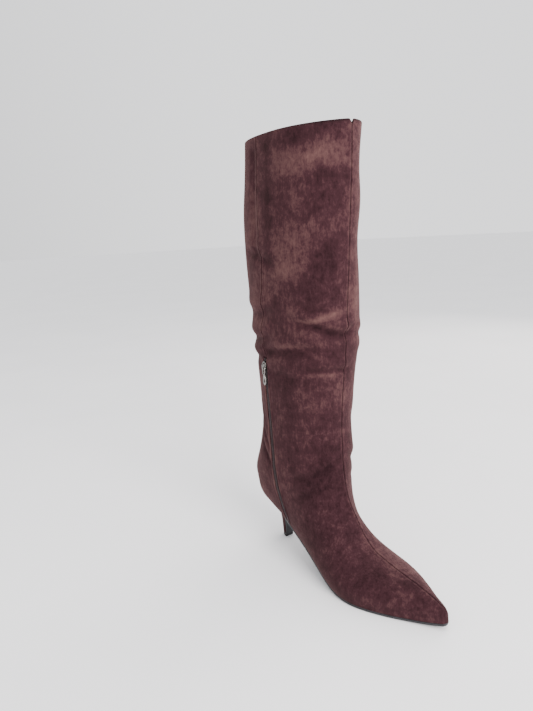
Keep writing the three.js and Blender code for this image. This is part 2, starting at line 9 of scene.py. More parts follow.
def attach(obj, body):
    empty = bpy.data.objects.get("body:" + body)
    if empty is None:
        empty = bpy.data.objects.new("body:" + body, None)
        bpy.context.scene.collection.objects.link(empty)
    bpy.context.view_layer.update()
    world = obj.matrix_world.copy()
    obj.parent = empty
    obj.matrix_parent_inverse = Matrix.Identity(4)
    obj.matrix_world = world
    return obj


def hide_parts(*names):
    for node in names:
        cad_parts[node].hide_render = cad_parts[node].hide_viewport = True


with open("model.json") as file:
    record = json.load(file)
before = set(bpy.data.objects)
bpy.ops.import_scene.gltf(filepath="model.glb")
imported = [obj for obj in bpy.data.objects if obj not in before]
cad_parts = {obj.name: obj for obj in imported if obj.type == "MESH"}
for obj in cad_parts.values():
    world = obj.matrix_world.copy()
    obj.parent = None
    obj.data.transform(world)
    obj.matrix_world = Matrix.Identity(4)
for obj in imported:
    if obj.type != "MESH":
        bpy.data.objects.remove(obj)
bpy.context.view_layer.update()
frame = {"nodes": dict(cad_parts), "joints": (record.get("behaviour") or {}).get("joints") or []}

# A left knee-high boot in brushed suede. Shapes are worked out in millimetres and put into the meshes in
# metres. Toe along -Y, outer side +X, the heel tip's middle on the floor at the origin.

# Camera and light
camera = {"place": (-0.3955, -0.5070, 0.3650), "lens": 28.2,
          "right": (0.79392, -0.60564, -0.05370), "up": (0.16581, 0.13069, 0.97746),
          "back": (-0.58498, -0.78493, 0.20418)}

cameraData = bpy.data.cameras.new("camera")
cameraData.sensor_width = 36
cameraData.lens = camera["lens"]
cameraData.clip_start = 0.01
cameraObject = bpy.data.objects.new("camera", cameraData)
bpy.context.scene.collection.objects.link(cameraObject)
turn = Matrix((camera["right"], camera["up"], camera["back"])).transposed().to_4x4()
cameraObject.matrix_world = Matrix.Translation(camera["place"]) @ turn
bpy.context.scene.camera = cameraObject

lights = [
    # name, place, aims at, size, watts, colour
    ("keyLight", (-0.25, -1.75, 1.05), (0, -0.08, 0.36), 1.0, 60, (1.0, 0.96, 0.95)),
    ("rimLight", (1.5, 0.2, 0.95), (0, -0.05, 0.3), 1.2, 12, (1.0, 0.90, 0.85)),
    ("topLight", (0.25, -0.1, 1.9), (0, -0.08, 0.3), 1.2, 7, (1, 1, 1)),
]
for name, place, aim, size, watts, colour in lights:
    data = bpy.data.lights.new(name, "AREA")
    data.size, data.energy, data.color = size, watts, colour
    lamp = bpy.data.objects.new(name, data)
    lamp.location = place
    lamp.rotation_euler = (Vector(aim) - Vector(place)).to_track_quat("-Z", "Y").to_euler()
    bpy.context.scene.collection.objects.link(lamp)

# the room is bright, and dimmer on one side, behind the left
studio = {"colour": (0.95, 0.95, 0.97, 1), "bright": 1.72, "dim": 1.0, "dimSide": (-0.80, 0.58, -0.15),
          "dimFrom": -0.1, "dimFull": 0.9}
world = bpy.data.worlds.new("studio")
bpy.context.scene.world = world
world.use_nodes = True
roomNodes, roomLinks = world.node_tree.nodes, world.node_tree.links
direction = roomNodes.new("ShaderNodeTexCoord")
facing = roomNodes.new("ShaderNodeVectorMath")
facing.operation = "DOT_PRODUCT"
facing.inputs[1].default_value = studio["dimSide"]
level = roomNodes.new("ShaderNodeMapRange")
level.interpolation_type = "SMOOTHSTEP"
for socket, key in zip(level.inputs[1:5], ("dimFrom", "dimFull", "bright", "dim")):
    socket.default_value = studio[key]
roomNodes["Background"].inputs["Color"].default_value = studio["colour"]
roomLinks.new(direction.outputs["Generated"], facing.inputs[0])
roomLinks.new(facing.outputs["Value"], level.inputs[0])
roomLinks.new(level.outputs[0], roomNodes["Background"].inputs["Strength"])
print("stage: camera and light")

# Shape of the last
boot = {
    "reach": 234, "ballWidth": 86, "seatHeight": 61, "instepHeight": 73, "toeLift": 4, "toeLiftFrom": 0.78,
    "soleThickness": 2.6, "gap": 0.3, "shaftHeight": 469, "calfDepth": 150, "calfBreadth": 88,
    "shaftLean": 25, "ankleAhead": 102, "legBelly": 0.48, "wall": 2.0,
}

# at, rise, topAt, topRise, inner, outer, belly, tuck, back, ridgeIn, ridgeOut
footRows = np.array([
    [1, 0, 0.997, 0.23, 0.05, 0.06, 0.5, 0.9, 1, 1, 1],
    [0.996, 0, 0.988, 0.268, 0.1, 0.11, 0.46, 0.93, 1, 1, 1],
    [0.98, 0, 0.965, 0.31, 0.155, 0.165, 0.42, 0.95, 1, 1, 1],
    [0.94, 0, 0.915, 0.361, 0.28, 0.27, 0.39, 0.96, 1, 1, 1.03],
    [0.88, 0, 0.851, 0.406, 0.45, 0.46, 0.36, 0.965, 1, 1.05, 1.07],
    [0.8, 0, 0.772, 0.45, 0.69, 0.67, 0.34, 0.965, 1, 1.1, 1.13],
    [0.72, 0, 0.697, 0.501, 0.9, 0.79, 0.32, 0.965, 1, 1.15, 1.23],
    [0.64, 0, 0.622, 0.58, 1.04, 0.83, 0.29, 0.96, 1, 1.2, 1.41],
    [0.56, 0.02, 0.561, 0.743, 1.07, 0.78, 0.23, 0.94, 1, 1.25, 1.69],
    [0.48, 0.08, 0.52, 0.934, 1.02, 0.7, 0.21, 0.9, 1, 1.3, 1.89],
    [0.39, 0.2, 0.486, 1.108, 0.93, 0.66, 0.24, 0.85, 1, 1.3, 1.86],
    [0.3, 0.36, 0.462, 1.277, 0.86, 0.7, 0.31, 0.81, 1, 1.25, 1.61],
    [0.21, 0.55, 0.45, 1.449, 0.84, 0.76, 0.38, 0.78, 0.95, 1.2, 1.33],
    [0.12, 0.73, 0.443, 1.612, 0.83, 0.82, 0.44, 0.75, 0.88, 1.15, 1.06],
    [0.04, 0.86, 0.439, 1.765, 0.86, 0.86, 0.46, 0.72, 0.8, 1.1, 0.93],
    [-0.03, 0.945, 0.438, 1.897, 0.91, 0.9, 0.47, 0.62, 0.72, 1.05, 0.85],
    [-0.066, 0.99, 0.438, 2.009, 0.93, 0.93, 0.47, 0.42, 0.68, 1, 0.81],
    [-0.08, 1, 0.437, 2.101, 0.94, 0.94, 0.47, 0, 0.66, 1, 0.83],
])
# rise, lean, depth, drop, inner, outer, back, ridgeIn, ridgeOut
legRows = np.array([
    [0.352, 0.01, 0.825, 0.735, 0.94, 0.93, 0.68, 1, 0.87],
    [0.38, 0.04, 0.852, 0.68, 0.94, 0.94, 0.7, 1, 0.9],
    [0.412, 0.09, 0.79, 0.6, 0.94, 0.95, 0.75, 0.99, 0.87],
    [0.45, 0.17, 0.757, 0.5, 0.94, 0.96, 0.78, 0.99, 0.9],
    [0.495, 0.28, 0.781, 0.4, 0.96, 0.97, 0.8, 0.98, 0.88],
    [0.55, 0.4, 0.818, 0.32, 0.97, 0.99, 0.8, 1.01, 0.77],
    [0.615, 0.5, 0.864, 0.25, 0.98, 1, 0.8, 1.06, 0.8],
    [0.69, 0.62, 0.921, 0.19, 0.99, 0.99, 0.8, 1.12, 0.88],
    [0.77, 0.72, 0.961, 0.13, 1, 0.98, 0.8, 1.2, 0.99],
    [0.85, 0.83, 0.979, 0.08, 1, 0.99, 0.8, 1.3, 0.91],
    [0.925, 0.93, 0.971, 0.04, 0.95, 0.97, 0.8, 1.43, 1.02],
    [1, 1, 0.965, 0.015, 0.9, 0.99, 0.8, 1.57, 0.92],
])
# the inner seam from the collar down: up as a share of the shaft's height, ahead as a share of the reach
sideRows = np.array([
    [1, 0.132], [0.93, 0.132], [0.84, 0.138], [0.765, 0.141], [0.71, 0.15], [0.66, 0.139], [0.6, 0.13],
    [0.52, 0.125], [0.46, 0.129], [0.4, 0.129], [0.34, 0.137], [0.28, 0.145], [0.22, 0.149], [0.175, 0.153],
    [0.13, 0.164], [0.085, 0.185],
])
closedRow = len(footRows) - 1
collarRow = len(footRows) + len(legRows) - 1
frontOfZip = 9  # row ahead of which nothing belongs to the inner seam


# Both tables in millimetres: each section runs from a low end (ahead, up) to a high end (ahead, up), with its
# half-widths, the height of its widest line, its width at the sole and the bends of its quarters.
def lastSections():
    b, f, g = boot, footRows, legRows
    edge = b["soleThickness"] + b["gap"]
    toe = np.maximum(0, (f[:, 0] - b["toeLiftFrom"]) / (1 - b["toeLiftFrom"]))
    lowUp = edge + f[:, 1] * (b["seatHeight"] - b["soleThickness"]) + b["toeLift"] * toe**2
    foot = np.c_[f[:, 0] * b["reach"], lowUp, f[:, 2] * b["reach"], f[:, 3] * b["instepHeight"],
                 f[:, 4:6] * b["ballWidth"] / 2, f[:, 6:]]
    depth = g[:, 2] * b["calfDepth"]
    front = b["ankleAhead"] + g[:, 1] * b["shaftLean"]
    high = g[:, 0] * b["shaftHeight"]
    leg = np.c_[front - depth, high - g[:, 3] * depth, front, high, g[:, 4:6] * b["calfBreadth"] / 2,
                0 * depth + b["legBelly"], 0 * depth, g[:, 6:]]
    return np.r_[foot, leg]


sections = lastSections()


# Cubic through the rows of a table at t, whose slope at a row is half the step between its neighbours.
def smoothRows(rows, t):
    last = len(rows) - 1
    i = np.clip(np.floor(t).astype(int), 0, last - 1)
    u = (t - i)[..., None]
    padded = np.r_[[2 * rows[0] - rows[1]], rows, [2 * rows[-1] - rows[-2]]]
    a, b, c, d = padded[i], padded[i + 1], padded[i + 2], padded[i + 3]
    return b + 0.5 * u * (c - a + u * (2 * a - 5 * b + 4 * c - d + u * (3 * (b - c) + d - a)))


# Point of the boot's outside at row t and place p: in the plane of the section at t it follows four quarters
# x = half * sin^k, height = cut -+ reach * cos^k, from the inner side's low end (p = -1) over the ridge (0)
# to the outer side's (+1).
def lastPoint(t, p):
    t, p = np.broadcast_arrays(np.asarray(t, float), np.asarray(p, float))
    values = np.moveaxis(smoothRows(sections, t), -1, 0)
    lowAhead, lowUp, highAhead, highUp, inner, outer, belly, tuck, back, ridgeIn, ridgeOut = values
    lowUp = np.maximum(lowUp, boot["soleThickness"] + boot["gap"])
    along = np.stack([highAhead - lowAhead, highUp - lowUp], -1)
    length = np.linalg.norm(along, axis=-1)
    along = along / length[..., None]
    cut = belly * length
    tuck = np.where(t >= closedRow, 0, np.clip(tuck, 0, 0.999))
    lower = cut / (1 - tuck ** (2 / back)) ** (back / 2)
    start = np.arccos(np.minimum(1, cut / lower) ** (1 / back))
    half = np.where(p < 0, inner, outer)
    ridge = np.where(p < 0, ridgeIn, ridgeOut)
    low = cut - lower * np.cos(start) ** back
    lowLength = np.hypot(half * (1 - np.sin(start) ** back), cut - low)
    share = lowLength / (lowLength + np.hypot(half, length - cut))
    q = 1 - np.abs(p)
    angle = np.where(q < share, start + (np.pi / 2 - start) * (q / share),
                     np.pi / 2 * (1 + (q - share) / (1 - share)))
    sine, cosine = np.clip(np.sin(angle), 0, 1), np.abs(np.cos(angle))
    lowSide = angle < np.pi / 2
    x = np.sign(p) * half * np.where(lowSide, sine**back, sine**ridge)
    height = np.where(lowSide, cut - lower * cosine**back,
                      cut + (length - cut) * cosine ** np.minimum(ridge, 1))
    return np.stack([x, -(lowAhead + along[..., 0] * height), lowUp + along[..., 1] * height], -1)


# Share p of each row where the inner side's seam crosses it, by halving the range between low end and ridge.
def sideSeamShare(t):
    ups, aheads = sideRows[::-1, 0] * boot["shaftHeight"], sideRows[::-1, 1] * boot["reach"]
    fineUp = np.linspace(ups[0], ups[-1], 400)
    fineAhead = smoothRows(aheads[:, None], np.interp(fineUp, ups, np.arange(len(ups))))[:, 0]
    slope = (aheads[1] - aheads[0]) / (ups[1] - ups[0])
    low, high = np.full(t.shape, -1.0), np.full(t.shape, -0.02)
    for _ in range(36):
        middle = (low + high) / 2
        point = lastPoint(t, middle)
        line = np.interp(point[..., 2], fineUp, fineAhead) + slope * np.minimum(0, point[..., 2] - ups[0])
        behind = -point[..., 1] < line
        low, high = np.where(behind, middle, low), np.where(behind, high, middle)
    return (low + high) / 2


# Distance travelled along each line of points, from its first one.
def lengthAlong(points):
    steps = np.linalg.norm(np.diff(points, axis=-2), axis=-1)
    return np.concatenate([0 * steps[..., :1], np.cumsum(steps, -1)], -1)


# Vectors divided by their own length.
def unit(vectors):
    return vectors / np.maximum(np.linalg.norm(vectors, axis=-1, keepdims=True), 1e-9)


# Places p from the ridge (0) to the low end of one side (-1 inner, 1 outer), and each row's girth up to them.
def girthCurves(t, side):
    p = np.linspace(0, side, 500)
    return p, lengthAlong(lastPoint(t[:, None], p[None, :]))


# Place p of the wanted distances round each row, measured from the ridge: the inverse of the girth curve.
# The rows are set far apart, so that one call of interp does them all.
def shareAtGirth(t, wanted, side):
    p, girth = girthCurves(t, side)
    apart = np.arange(len(t))[:, None] * 2000.0
    wanted = np.minimum(wanted, girth[:, -1:])
    found = np.interp((wanted + apart).ravel(), (girth + apart).ravel(), np.tile(p, len(t)))
    return found.reshape(wanted.shape)


# Outward directions of a grid of points: the cross product of its two slopes. Where the two edges of a row
# meet they share one direction.
def gridNormals(points, closed):
    normal = np.cross(np.gradient(points, axis=1), np.gradient(points, axis=0))
    normal[closed, 0] = normal[closed, -1] = normal[closed, 0] + normal[closed, -1]
    return unit(normal)


# Smooth noise: a sum of sine waves in seeded directions, between about -1 and 1.
def softNoise(points, size, seed, waves=18):
    rng = np.random.default_rng(seed)
    direction = unit(rng.normal(size=(waves, 3)))
    direction *= (2 * np.pi / size) * rng.uniform(0.6, 1.5, (waves, 1))
    phase = rng.uniform(0, 2 * np.pi, waves)
    return np.sin(points @ direction.T + phase).sum(-1) / np.sqrt(waves) * 0.8


# A bell, 1 in its middle: e to the power of -(distance / width)^2.
def hill(distance, width):
    return np.exp(-((distance / width) ** 2))


# From 0 at low to 1 at high, along 3x^2 - 2x^3.
def ramp(value, low, high):
    x = np.clip((value - low) / (high - low), 0, 1)
    return x * x * (3 - 2 * x)


# A power that keeps the sign, which squares off a circle when it is below 1.
def power(value, exponent):
    return np.sign(value) * np.abs(value) ** exponent


# Even angles once round a circle.
def fullTurn(count):
    return np.linspace(0, 2 * np.pi, count, endpoint=False)


# A mesh object from points in millimetres and blocks of faces, with an optional flow map and marks for each
# point. Points that fall together are joined, and the faces are turned outwards.
def makePiece(name, points, faces, uv=None, marks=None):
    mesh = bpy.data.meshes.new(name)
    mesh.from_pydata((points * 0.001).tolist(), [], [face for block in faces for face in block.tolist()])
    for key, values in (marks or {}).items():
        attribute = mesh.attributes.new(key, "FLOAT", "POINT")
        attribute.data.foreach_set("value", np.ascontiguousarray(values, np.float32))
    if uv is not None:
        corner = np.empty(len(mesh.loops), np.int64)
        mesh.loops.foreach_get("vertex_index", corner)
        layer = mesh.uv_layers.new(name="flow")
        layer.data.foreach_set("uv", np.ascontiguousarray(uv[corner], np.float32).ravel())
    work = bmesh.new()
    work.from_mesh(mesh)
    bmesh.ops.remove_doubles(work, verts=work.verts, dist=2e-6)
    bmesh.ops.dissolve_degenerate(work, edges=work.edges, dist=1e-7)
    bmesh.ops.recalc_face_normals(work, faces=work.faces)
    work.to_mesh(mesh)
    work.free()
    mesh.polygons.foreach_set("use_smooth", np.ones(len(mesh.polygons), bool))
    mesh.update()
    piece = bpy.data.objects.new(name, mesh)
    bpy.context.scene.collection.objects.link(piece)
    return piece


# Quads between neighbouring rows and columns of a grid of vertex numbers.
def gridQuads(index):
    a, b, c, d = index[:-1, :-1], index[:-1, 1:], index[1:, 1:], index[1:, :-1]
    return np.stack([a, b, c, d], -1).reshape(-1, 4)


# Vertex numbers of a grid, row by row, with its first column repeated at the end where the rows are rings.
def numberGrid(shape, first=0, rings=True):
    index = first + np.arange(shape[0] * shape[1]).reshape(shape)
    return np.concatenate([index, index[:, :1]], 1) if rings else index


# A tube from rings of points, its two ends closed by fans to their middles.
def closedTube(rings, first=0):
    ring = numberGrid(rings.shape[:2], first)
    ends = np.full((rings.shape[1], 2), first + rings.shape[0] * rings.shape[1] + np.arange(2))
    start = np.stack([ring[0, :-1], ring[0, 1:], ends[:, 0]], -1)
    finish = np.stack([ring[-1, 1:], ring[-1, :-1], ends[:, 1]], -1)
    return np.concatenate([rings.reshape(-1, 3), rings[[0, -1]].mean(1)]), [gridQuads(ring), start, finish]


# A closed profile (across, out) carried along a path with directions across and outwards.
def carryProfile(line, across, outward, profile, first=0):
    rings = line[:, None] + across[:, None] * profile[None, :, :1] + outward[:, None] * profile[None, :, 1:]
    return closedTube(rings, first)


# Rings of one closed outline, each with its own scale and height.
def stackRings(outline, scales, heights):
    flat = outline * np.array(scales)[:, None, None]
    high = np.broadcast_to(np.array(heights)[:, None, None], flat.shape[:2] + (1,))
    return closedTube(np.concatenate([flat, high], -1))


# Curves with a straight line of even steps from their end back to their start.
def closeStraight(curves, steps):
    start, end = curves[..., -1:, :], curves[..., :1, :]
    share = np.linspace(0, 1, steps + 1)[1:-1, None]
    return np.concatenate([curves, start + (end - start) * share], -2)


# Triangles between a fine line of vertices and one with half as many steps.
def stitchLines(fine, coarse):
    a, b, c = fine[:-2:2], fine[1::2], fine[2::2]
    d, e = coarse[:-1], coarse[1:]
    return np.concatenate([np.stack([a, b, d], -1), np.stack([b, c, e], -1), np.stack([b, e, d], -1)])


# Triangles across an arch, from its one leg to the other: each step of either leg, taken in the order of its
# share of the leg's length, makes a triangle with the point reached on the other leg.
def closeAcross(index, line, top):
    left, right = index[:top + 1], index[:top - 1:-1]
    lengths = [lengthAlong(leg)[1:] for leg in (line[:top + 1], line[:top - 1:-1])]
    share = np.concatenate([length / length[-1] for length in lengths])
    onLeft = np.repeat([1, 0], [len(lengths[0]), len(lengths[1])])
    onLeft = onLeft[np.argsort(share, kind="stable")][:-1]
    i, j = np.cumsum(onLeft) - onLeft, np.cumsum(1 - onLeft) - (1 - onLeft)
    nextLeft, nextRight = left[np.minimum(i + 1, len(left) - 1)], right[np.minimum(j + 1, len(right) - 1)]
    return np.stack([left[i], np.where(onLeft == 1, nextLeft, nextRight), right[j]], -1)


# The upper
upper = {
    # grid: steps along the foot and up the leg, then before and behind the inner seam and on the outer side.
    # The inside takes every second row and column, so both row counts and each side's sum of steps are even.
    "rows": (196, 190), "columns": (34, 46, 74),
    # places p of the lines that the boot's length is measured on, and what each counts for
    "lengthLines": (0, -0.35, -0.7, -0.97), "lengthShares": (0.4, 0.2, 0.2, 0.2),
    # distances of the columns beside the front seam and the zip, and the room below which they draw together
    "nearSeam": (0.3, 0.65, 1.05, 1.6, 2.4, 3.4),
    "nearZip": (0, 0.3, 0.7, 1.3, 2.2, 3.1, 3.35, 3.6, 3.9, 4.3, 4.8, 5.4, 6.2, 7.4, 9),
    "squeezeUnder": 12,
    # the bend between foot and leg is smoothed: rounds, reach in rows, and the places p where that fades
    "easeRounds": 40, "easeReach": 1.0, "easeFade": (0.86, 0.97),
    "seamDepth": 0.75, "sideSeamDepth": 0.8, "seamHalf": 0.5,
    "seamPucker": 0.32, "sidePucker": 0.35, "puckerAt": 1.7, "puckerHalf": 1.1, "puckerSize": 9,
    "notchDepth": 4.0, "notchHalf": 2.6, "notchFrom": 16, "notchFull": 1,
    "zipTop": 238, "zipBottom": 44, "channelHalf": 3.35, "channelDepth": 2.35,
    "lipRise": 0.85, "lipAt": 4.9, "lipHalf": 1.25, "lipSize": 26,
    "stitchRise": 0.25, "stitchAt": 9.2, "stitchHalf": 1.4,
    # behind the inner seam the leg falls in, as it does without a leg inside
    "fallDepth": 2.3, "fallAt": 7, "fallHalf": 5.5, "fallStart": (330, 372), "fallEnd": (446, 464),
    "wave": 0.35, "waveSize": 90, "waveStart": (120, 230), "waveEnd": (440, 466),
    "rim": 0.9, "rimRows": 6, "rimDark": (466.6, 468.4),
    "facing": 14,  # height of the facing inside the collar
    # the toe is rounded off ahead of its last section: how far, how deep its top sinks, and the rows' angles
    "tipRound": 0.9, "tipSink": 1.6, "tipAngles": (76, 57, 38, 19),
}
# how a crease fades at its start and end, wanders up and down, how high and wide its ridge lies in widths of
# the crease, and between which heights creases begin
fold = {"before": (7, 9), "after": (14, 8), "wander": 1.2, "wanderRate": 0.11,
        "ridgeUp": 2.1, "ridgeWide": 1.3, "lowest": (60, 90)}
# Creases: height where they cross the front seam, rise per mm round the boot, bend, from and to round the
# boot (the inner side is positive), width, depth of the trough and height of the ridge above it.
creases = [
    (267, 0.26, -0.0008, -8, 62, 4.4, 3.1, 2.4),
    (259, -0.16, 0.0004, 34, 112, 5.2, 2.9, 2.1),
    (231, -0.06, 0.0004, -6, 52, 3.6, 1.3, 1.3),
    (290, 0.10, 0.0, 20, 60, 4.5, 1.2, 1.2),
    (229, 0.42, 0, 1, 14, 1.7, 0.8, 0.4),
    (268, -0.08, 0.0, 92, 150, 5.4, 2.6, 2.2),
    (248, -0.08, 0.0, 100, 150, 5.0, 2.0, 1.7),
    (293, -0.05, 0.0, 94, 152, 6.0, 2.2, 1.6),
    (322, 0.22, 0.0, 84, 140, 6.0, 1.8, 1.2),
    (-40, 1.45, 0.0, 98, 128, 5.5, 1.6, 1.2),
    (-20, 1.45, 0.0, 104, 132, 5.0, 1.3, 1.0),
    (246, -0.10, 0.0, -118, -30, 4.5, 1.5, 1.0),
    (268, -0.16, 0.0005, -100, -8, 4.2, 1.3, 0.9),
    (292, 0.10, 0.0, -126, -64, 5.5, 1.2, 0.8),
    (214, 0.08, 0.0004, 60, 130, 5.0, 1.2, 0.8),
    (205, 0.10, 0.0, -130, -60, 5.0, 1.1, 0.7),
    (132, -0.55, 0.0020, 12, 84, 4.6, 1.1, 0.8),
    (136, -0.52, 0.0020, -90, -10, 4.6, 1.1, 0.8),
    (116, -0.62, 0.0022, 22, 80, 3.8, 0.8, 0.6),
    (118, -0.60, 0.0022, -84, -20, 3.8, 0.8, 0.6),
]
# Clouds of brushed nap and of painted light: height, place round the boot, their two sizes, slant and
# strength (pale is positive). The thin pale clouds along the fold ridges are painted highlights, and the
# narrow pale strips on the outer side next to the front seam are painted sheen.
napAndLightClouds = [
    (439, 36, 22, 10, 0.25, 1.0), (436, 14, 14, 9, 0.1, 0.5), (420, 40, 26, 9, 0.2, -0.7),
    (419, 10, 16, 8, 0, -0.5), (458, 60, 40, 7, 0.1, -0.7), (400, 91, 6, 60, 0, -0.9),
    (444, 93, 6, 20, 0, -0.6), (366, 46, 24, 16, 0.3, 0.7), (331, 80, 26, 9, 0.1, 0.9),
    (311, 93, 12, 12, 0.4, 0.5), (345, 20, 14, 26, 0, -0.4), (285, 28, 26, 4, 0.25, 1.5),
    (255, 60, 24, 4, 0, 1.2), (226, 28, 30, 3, 0, 1.1), (205, 50, 18, 10, 0.3, 0.5),
    (184, 38, 22, 12, 0.3, 0.6), (152, 60, 20, 12, 0.4, 0.5), (120, 30, 16, 20, 0, -0.3),
    (300, -14, 6, 40, 0, 0.7), (250, -18, 6, 22, 0, 0.5), (430, -30, 20, 16, 0.2, 0.5),
    (380, -60, 24, 14, -0.3, 0.6), (330, -40, 18, 12, 0.2, -0.5), (250, -80, 26, 10, 0.2, 0.6),
    (180, -60, 18, 16, 0.4, 0.5), (140, -40, 20, 12, 0, -0.4), (90, 30, 18, 10, 0.3, 0.4),
    (400, 120, 16, 24, 0, 0.5), (300, 124, 14, 20, 0, 0.5), (210, 120, 14, 18, 0, 0.4),
    (110, 96, 14, 14, 0, 0.4),
]


# Height of the creases above the plain skin: each is a trough -depth * e^-(d/w)^2 with a ridge above it,
# where d is the height above the crease's own line, and it fades out towards both ends.
def creaseRelief(up, side):
    relief = np.zeros_like(up)
    before, after = fold["before"], fold["after"]
    for height, slope, bend, start, end, width, depth, ridge in creases:
        line = height + slope * np.abs(side) + bend * side**2
        span = ramp(side, start - before[0], start + before[1])
        span = span * (1 - ramp(side, end - after[0], end + after[1]))
        distance = up - line - fold["wander"] * np.sin(side * fold["wanderRate"] + height)
        above = hill(distance - width * fold["ridgeUp"], width * fold["ridgeWide"])
        relief += span * (ridge * above - depth * hill(distance, width))
    return relief


# Tone of the nap, with painted light: a slow rise up the boot, which is painted shade darkening the lower leg
# and the foot, and for each cloud its strength * e^-(across^2 + rise^2) in its own slanted measures.
def napAndPaintedLightTone(up, side):
    # painted shade: the tone is darker lower on the boot
    total = 0.30 * ramp(up, 60, 420) - 0.38
    for height, place, wide, tall, slant, strength in napAndLightClouds:
        across = (side - place) / wide
        rise = (up - height + slant * (side - place)) / tall
        total += strength * np.exp(-(across**2) - rise**2)
    return total


# Rows of the skin, at even steps of length along the boot, which is the weighted mean of four lines between
# the ridge and the low edge. Gives each row's t and its length from the toe.
def skinRows():
    spec = upper
    fine = np.linspace(0, collarRow, 1600)
    lines = lastPoint(fine[None, :], np.array(spec["lengthLines"])[:, None])
    travelled = np.array(spec["lengthShares"]) @ lengthAlong(lines)
    atClosed = np.interp(closedRow, fine, travelled)
    footT = np.interp(np.linspace(0, atClosed, spec["rows"][0] + 1), travelled, fine)
    legT = np.interp(np.linspace(atClosed, travelled[-1] - spec["rim"], spec["rows"][1] + 1), travelled, fine)
    footT[-1] = legT[0] = closedRow
    t = np.r_[footT, legT[1:]]
    return t, np.interp(t, fine, travelled)


# Distances between two lines of numbers, at even steps, without the two.
def evenSteps(start, end, steps):
    return start[:, None] + (end - start)[:, None] * np.linspace(0, 1, steps + 1)[None, 1:-1]


# Columns of the skin, by distance round each row from the ridge: close together along the front seam and the
# zip, even elsewhere, and drawn together where a row is short. Gives the place p of each point, its distance
# round the boot (the inner side is positive) and the inner seam's distance in each row.
def skinColumns(t):
    spec = upper
    frontSteps, backSteps, outerSteps = spec["columns"]
    p, girth = girthCurves(t, -1)
    innerLength, outerLength = girth[:, -1], girthCurves(t, 1)[1][:, -1]
    sideAt = np.array([np.interp(-share, -p, row) for share, row in zip(sideSeamShare(t), girth)])
    sideAt = np.minimum(sideAt, innerLength * 0.985)

    def squeeze(room):
        return np.minimum(1, room / spec["squeezeUnder"])[:, None]

    seamBand = np.array(spec["nearSeam"]) * squeeze(np.minimum(innerLength, outerLength))
    nearZip = np.array(spec["nearZip"])
    ahead = nearZip[:0:-1] * np.maximum(squeeze(sideAt - spec["nearSeam"][-1]), 0.02)
    behind = nearZip * squeeze(innerLength - sideAt)
    zipBand = sideAt[:, None] + np.concatenate([-ahead, behind], 1)
    inner = [seamBand, evenSteps(seamBand[:, -1], zipBand[:, 0], frontSteps), zipBand,
             evenSteps(zipBand[:, -1], innerLength, backSteps), innerLength[:, None]]
    outer = [seamBand, evenSteps(seamBand[:, -1], outerLength, outerSteps), outerLength[:, None]]
    inner, outer = np.sort(np.concatenate(inner, 1), 1), np.sort(np.concatenate(outer, 1), 1)
    innerPlace, outerPlace = shareAtGirth(t, inner, -1), shareAtGirth(t, outer, 1)
    innerPlace[:, -1], outerPlace[:, -1] = -1, 1
    ridge = np.zeros((len(t), 1))
    place = np.concatenate([innerPlace[:, ::-1], ridge, outerPlace], 1)
    return place, np.concatenate([inner[:, ::-1], ridge, -outer], 1), sideAt


# How far each zone holds, from 0 to 1: away from the toe, on the inner side, on the inner seam above the zip,
# along the zip's length, and across its hollow.
def skinZones(t, up, side, fromSide):
    zipTop, zipBottom, half = upper["zipTop"], upper["zipBottom"], upper["channelHalf"]
    onInner = (side > 0) & (t[:, None] > frontOfZip)
    zipRows = ramp(up, zipBottom - 1.5, zipBottom + 1.5) * (1 - ramp(up, zipTop - 1, zipTop + 2))
    return {
        "offToe": ramp(np.broadcast_to(t[:, None], up.shape), 0.3, 3),
        "inner": onInner.astype(float),
        "sideSeam": np.where(onInner, ramp(up, zipTop + 1, zipTop + 8), 0),
        "zip": np.where(onInner, zipRows, 0),
        "hollow": 1 - ramp(np.abs(fromSide), half - 0.15, half + 0.55),
    }


# Relief of the skin: the grooves of both seams with puckers beside them, the zip's hollow between two lips,
# the place where the leg falls in, the creases, and slack waves up the leg, all added together.
def skinRelief(skin, side, fromSide, zones):
    spec = upper
    up = skin[..., 2]
    uneven = 1 + 0.5 * softNoise(skin, spec["puckerSize"], 4)

    def groove(distance, depth, pucker):
        beside = hill(np.abs(distance) - spec["puckerAt"], spec["puckerHalf"])
        return pucker * uneven * beside - depth * hill(distance, spec["seamHalf"])

    relief = groove(side, spec["seamDepth"], spec["seamPucker"]) * (0.25 + 0.75 * zones["offToe"])
    relief += zones["sideSeam"] * groove(fromSide, spec["sideSeamDepth"], spec["sidePucker"])
    lip = 0.85 + 0.25 * softNoise(skin, spec["lipSize"], 9)
    lip *= spec["lipRise"] * hill(np.abs(fromSide) - spec["lipAt"], spec["lipHalf"])
    lip += spec["stitchRise"] * hill(np.abs(fromSide) - spec["stitchAt"], spec["stitchHalf"])
    hollow = zones["hollow"]
    relief += zones["zip"] * (lip * (1 - hollow) - spec["channelDepth"] * hollow)
    fall = hill(fromSide - spec["fallAt"], spec["fallHalf"])
    fall *= ramp(up, *spec["fallStart"]) * (1 - ramp(up, *spec["fallEnd"]))
    relief -= zones["inner"] * spec["fallDepth"] * fall
    calm = 1 - 0.75 * zones["zip"] * hill(fromSide, 9)  # creases are shallower over the zip
    relief += creaseRelief(up, side) * calm * ramp(up, *fold["lowest"])
    slack = softNoise(skin * [1, 1, 0.55], spec["waveSize"], 21)
    slack *= ramp(up, *spec["waveStart"]) * (1 - ramp(up, *spec["waveEnd"]))
    return relief + spec["wave"] * slack


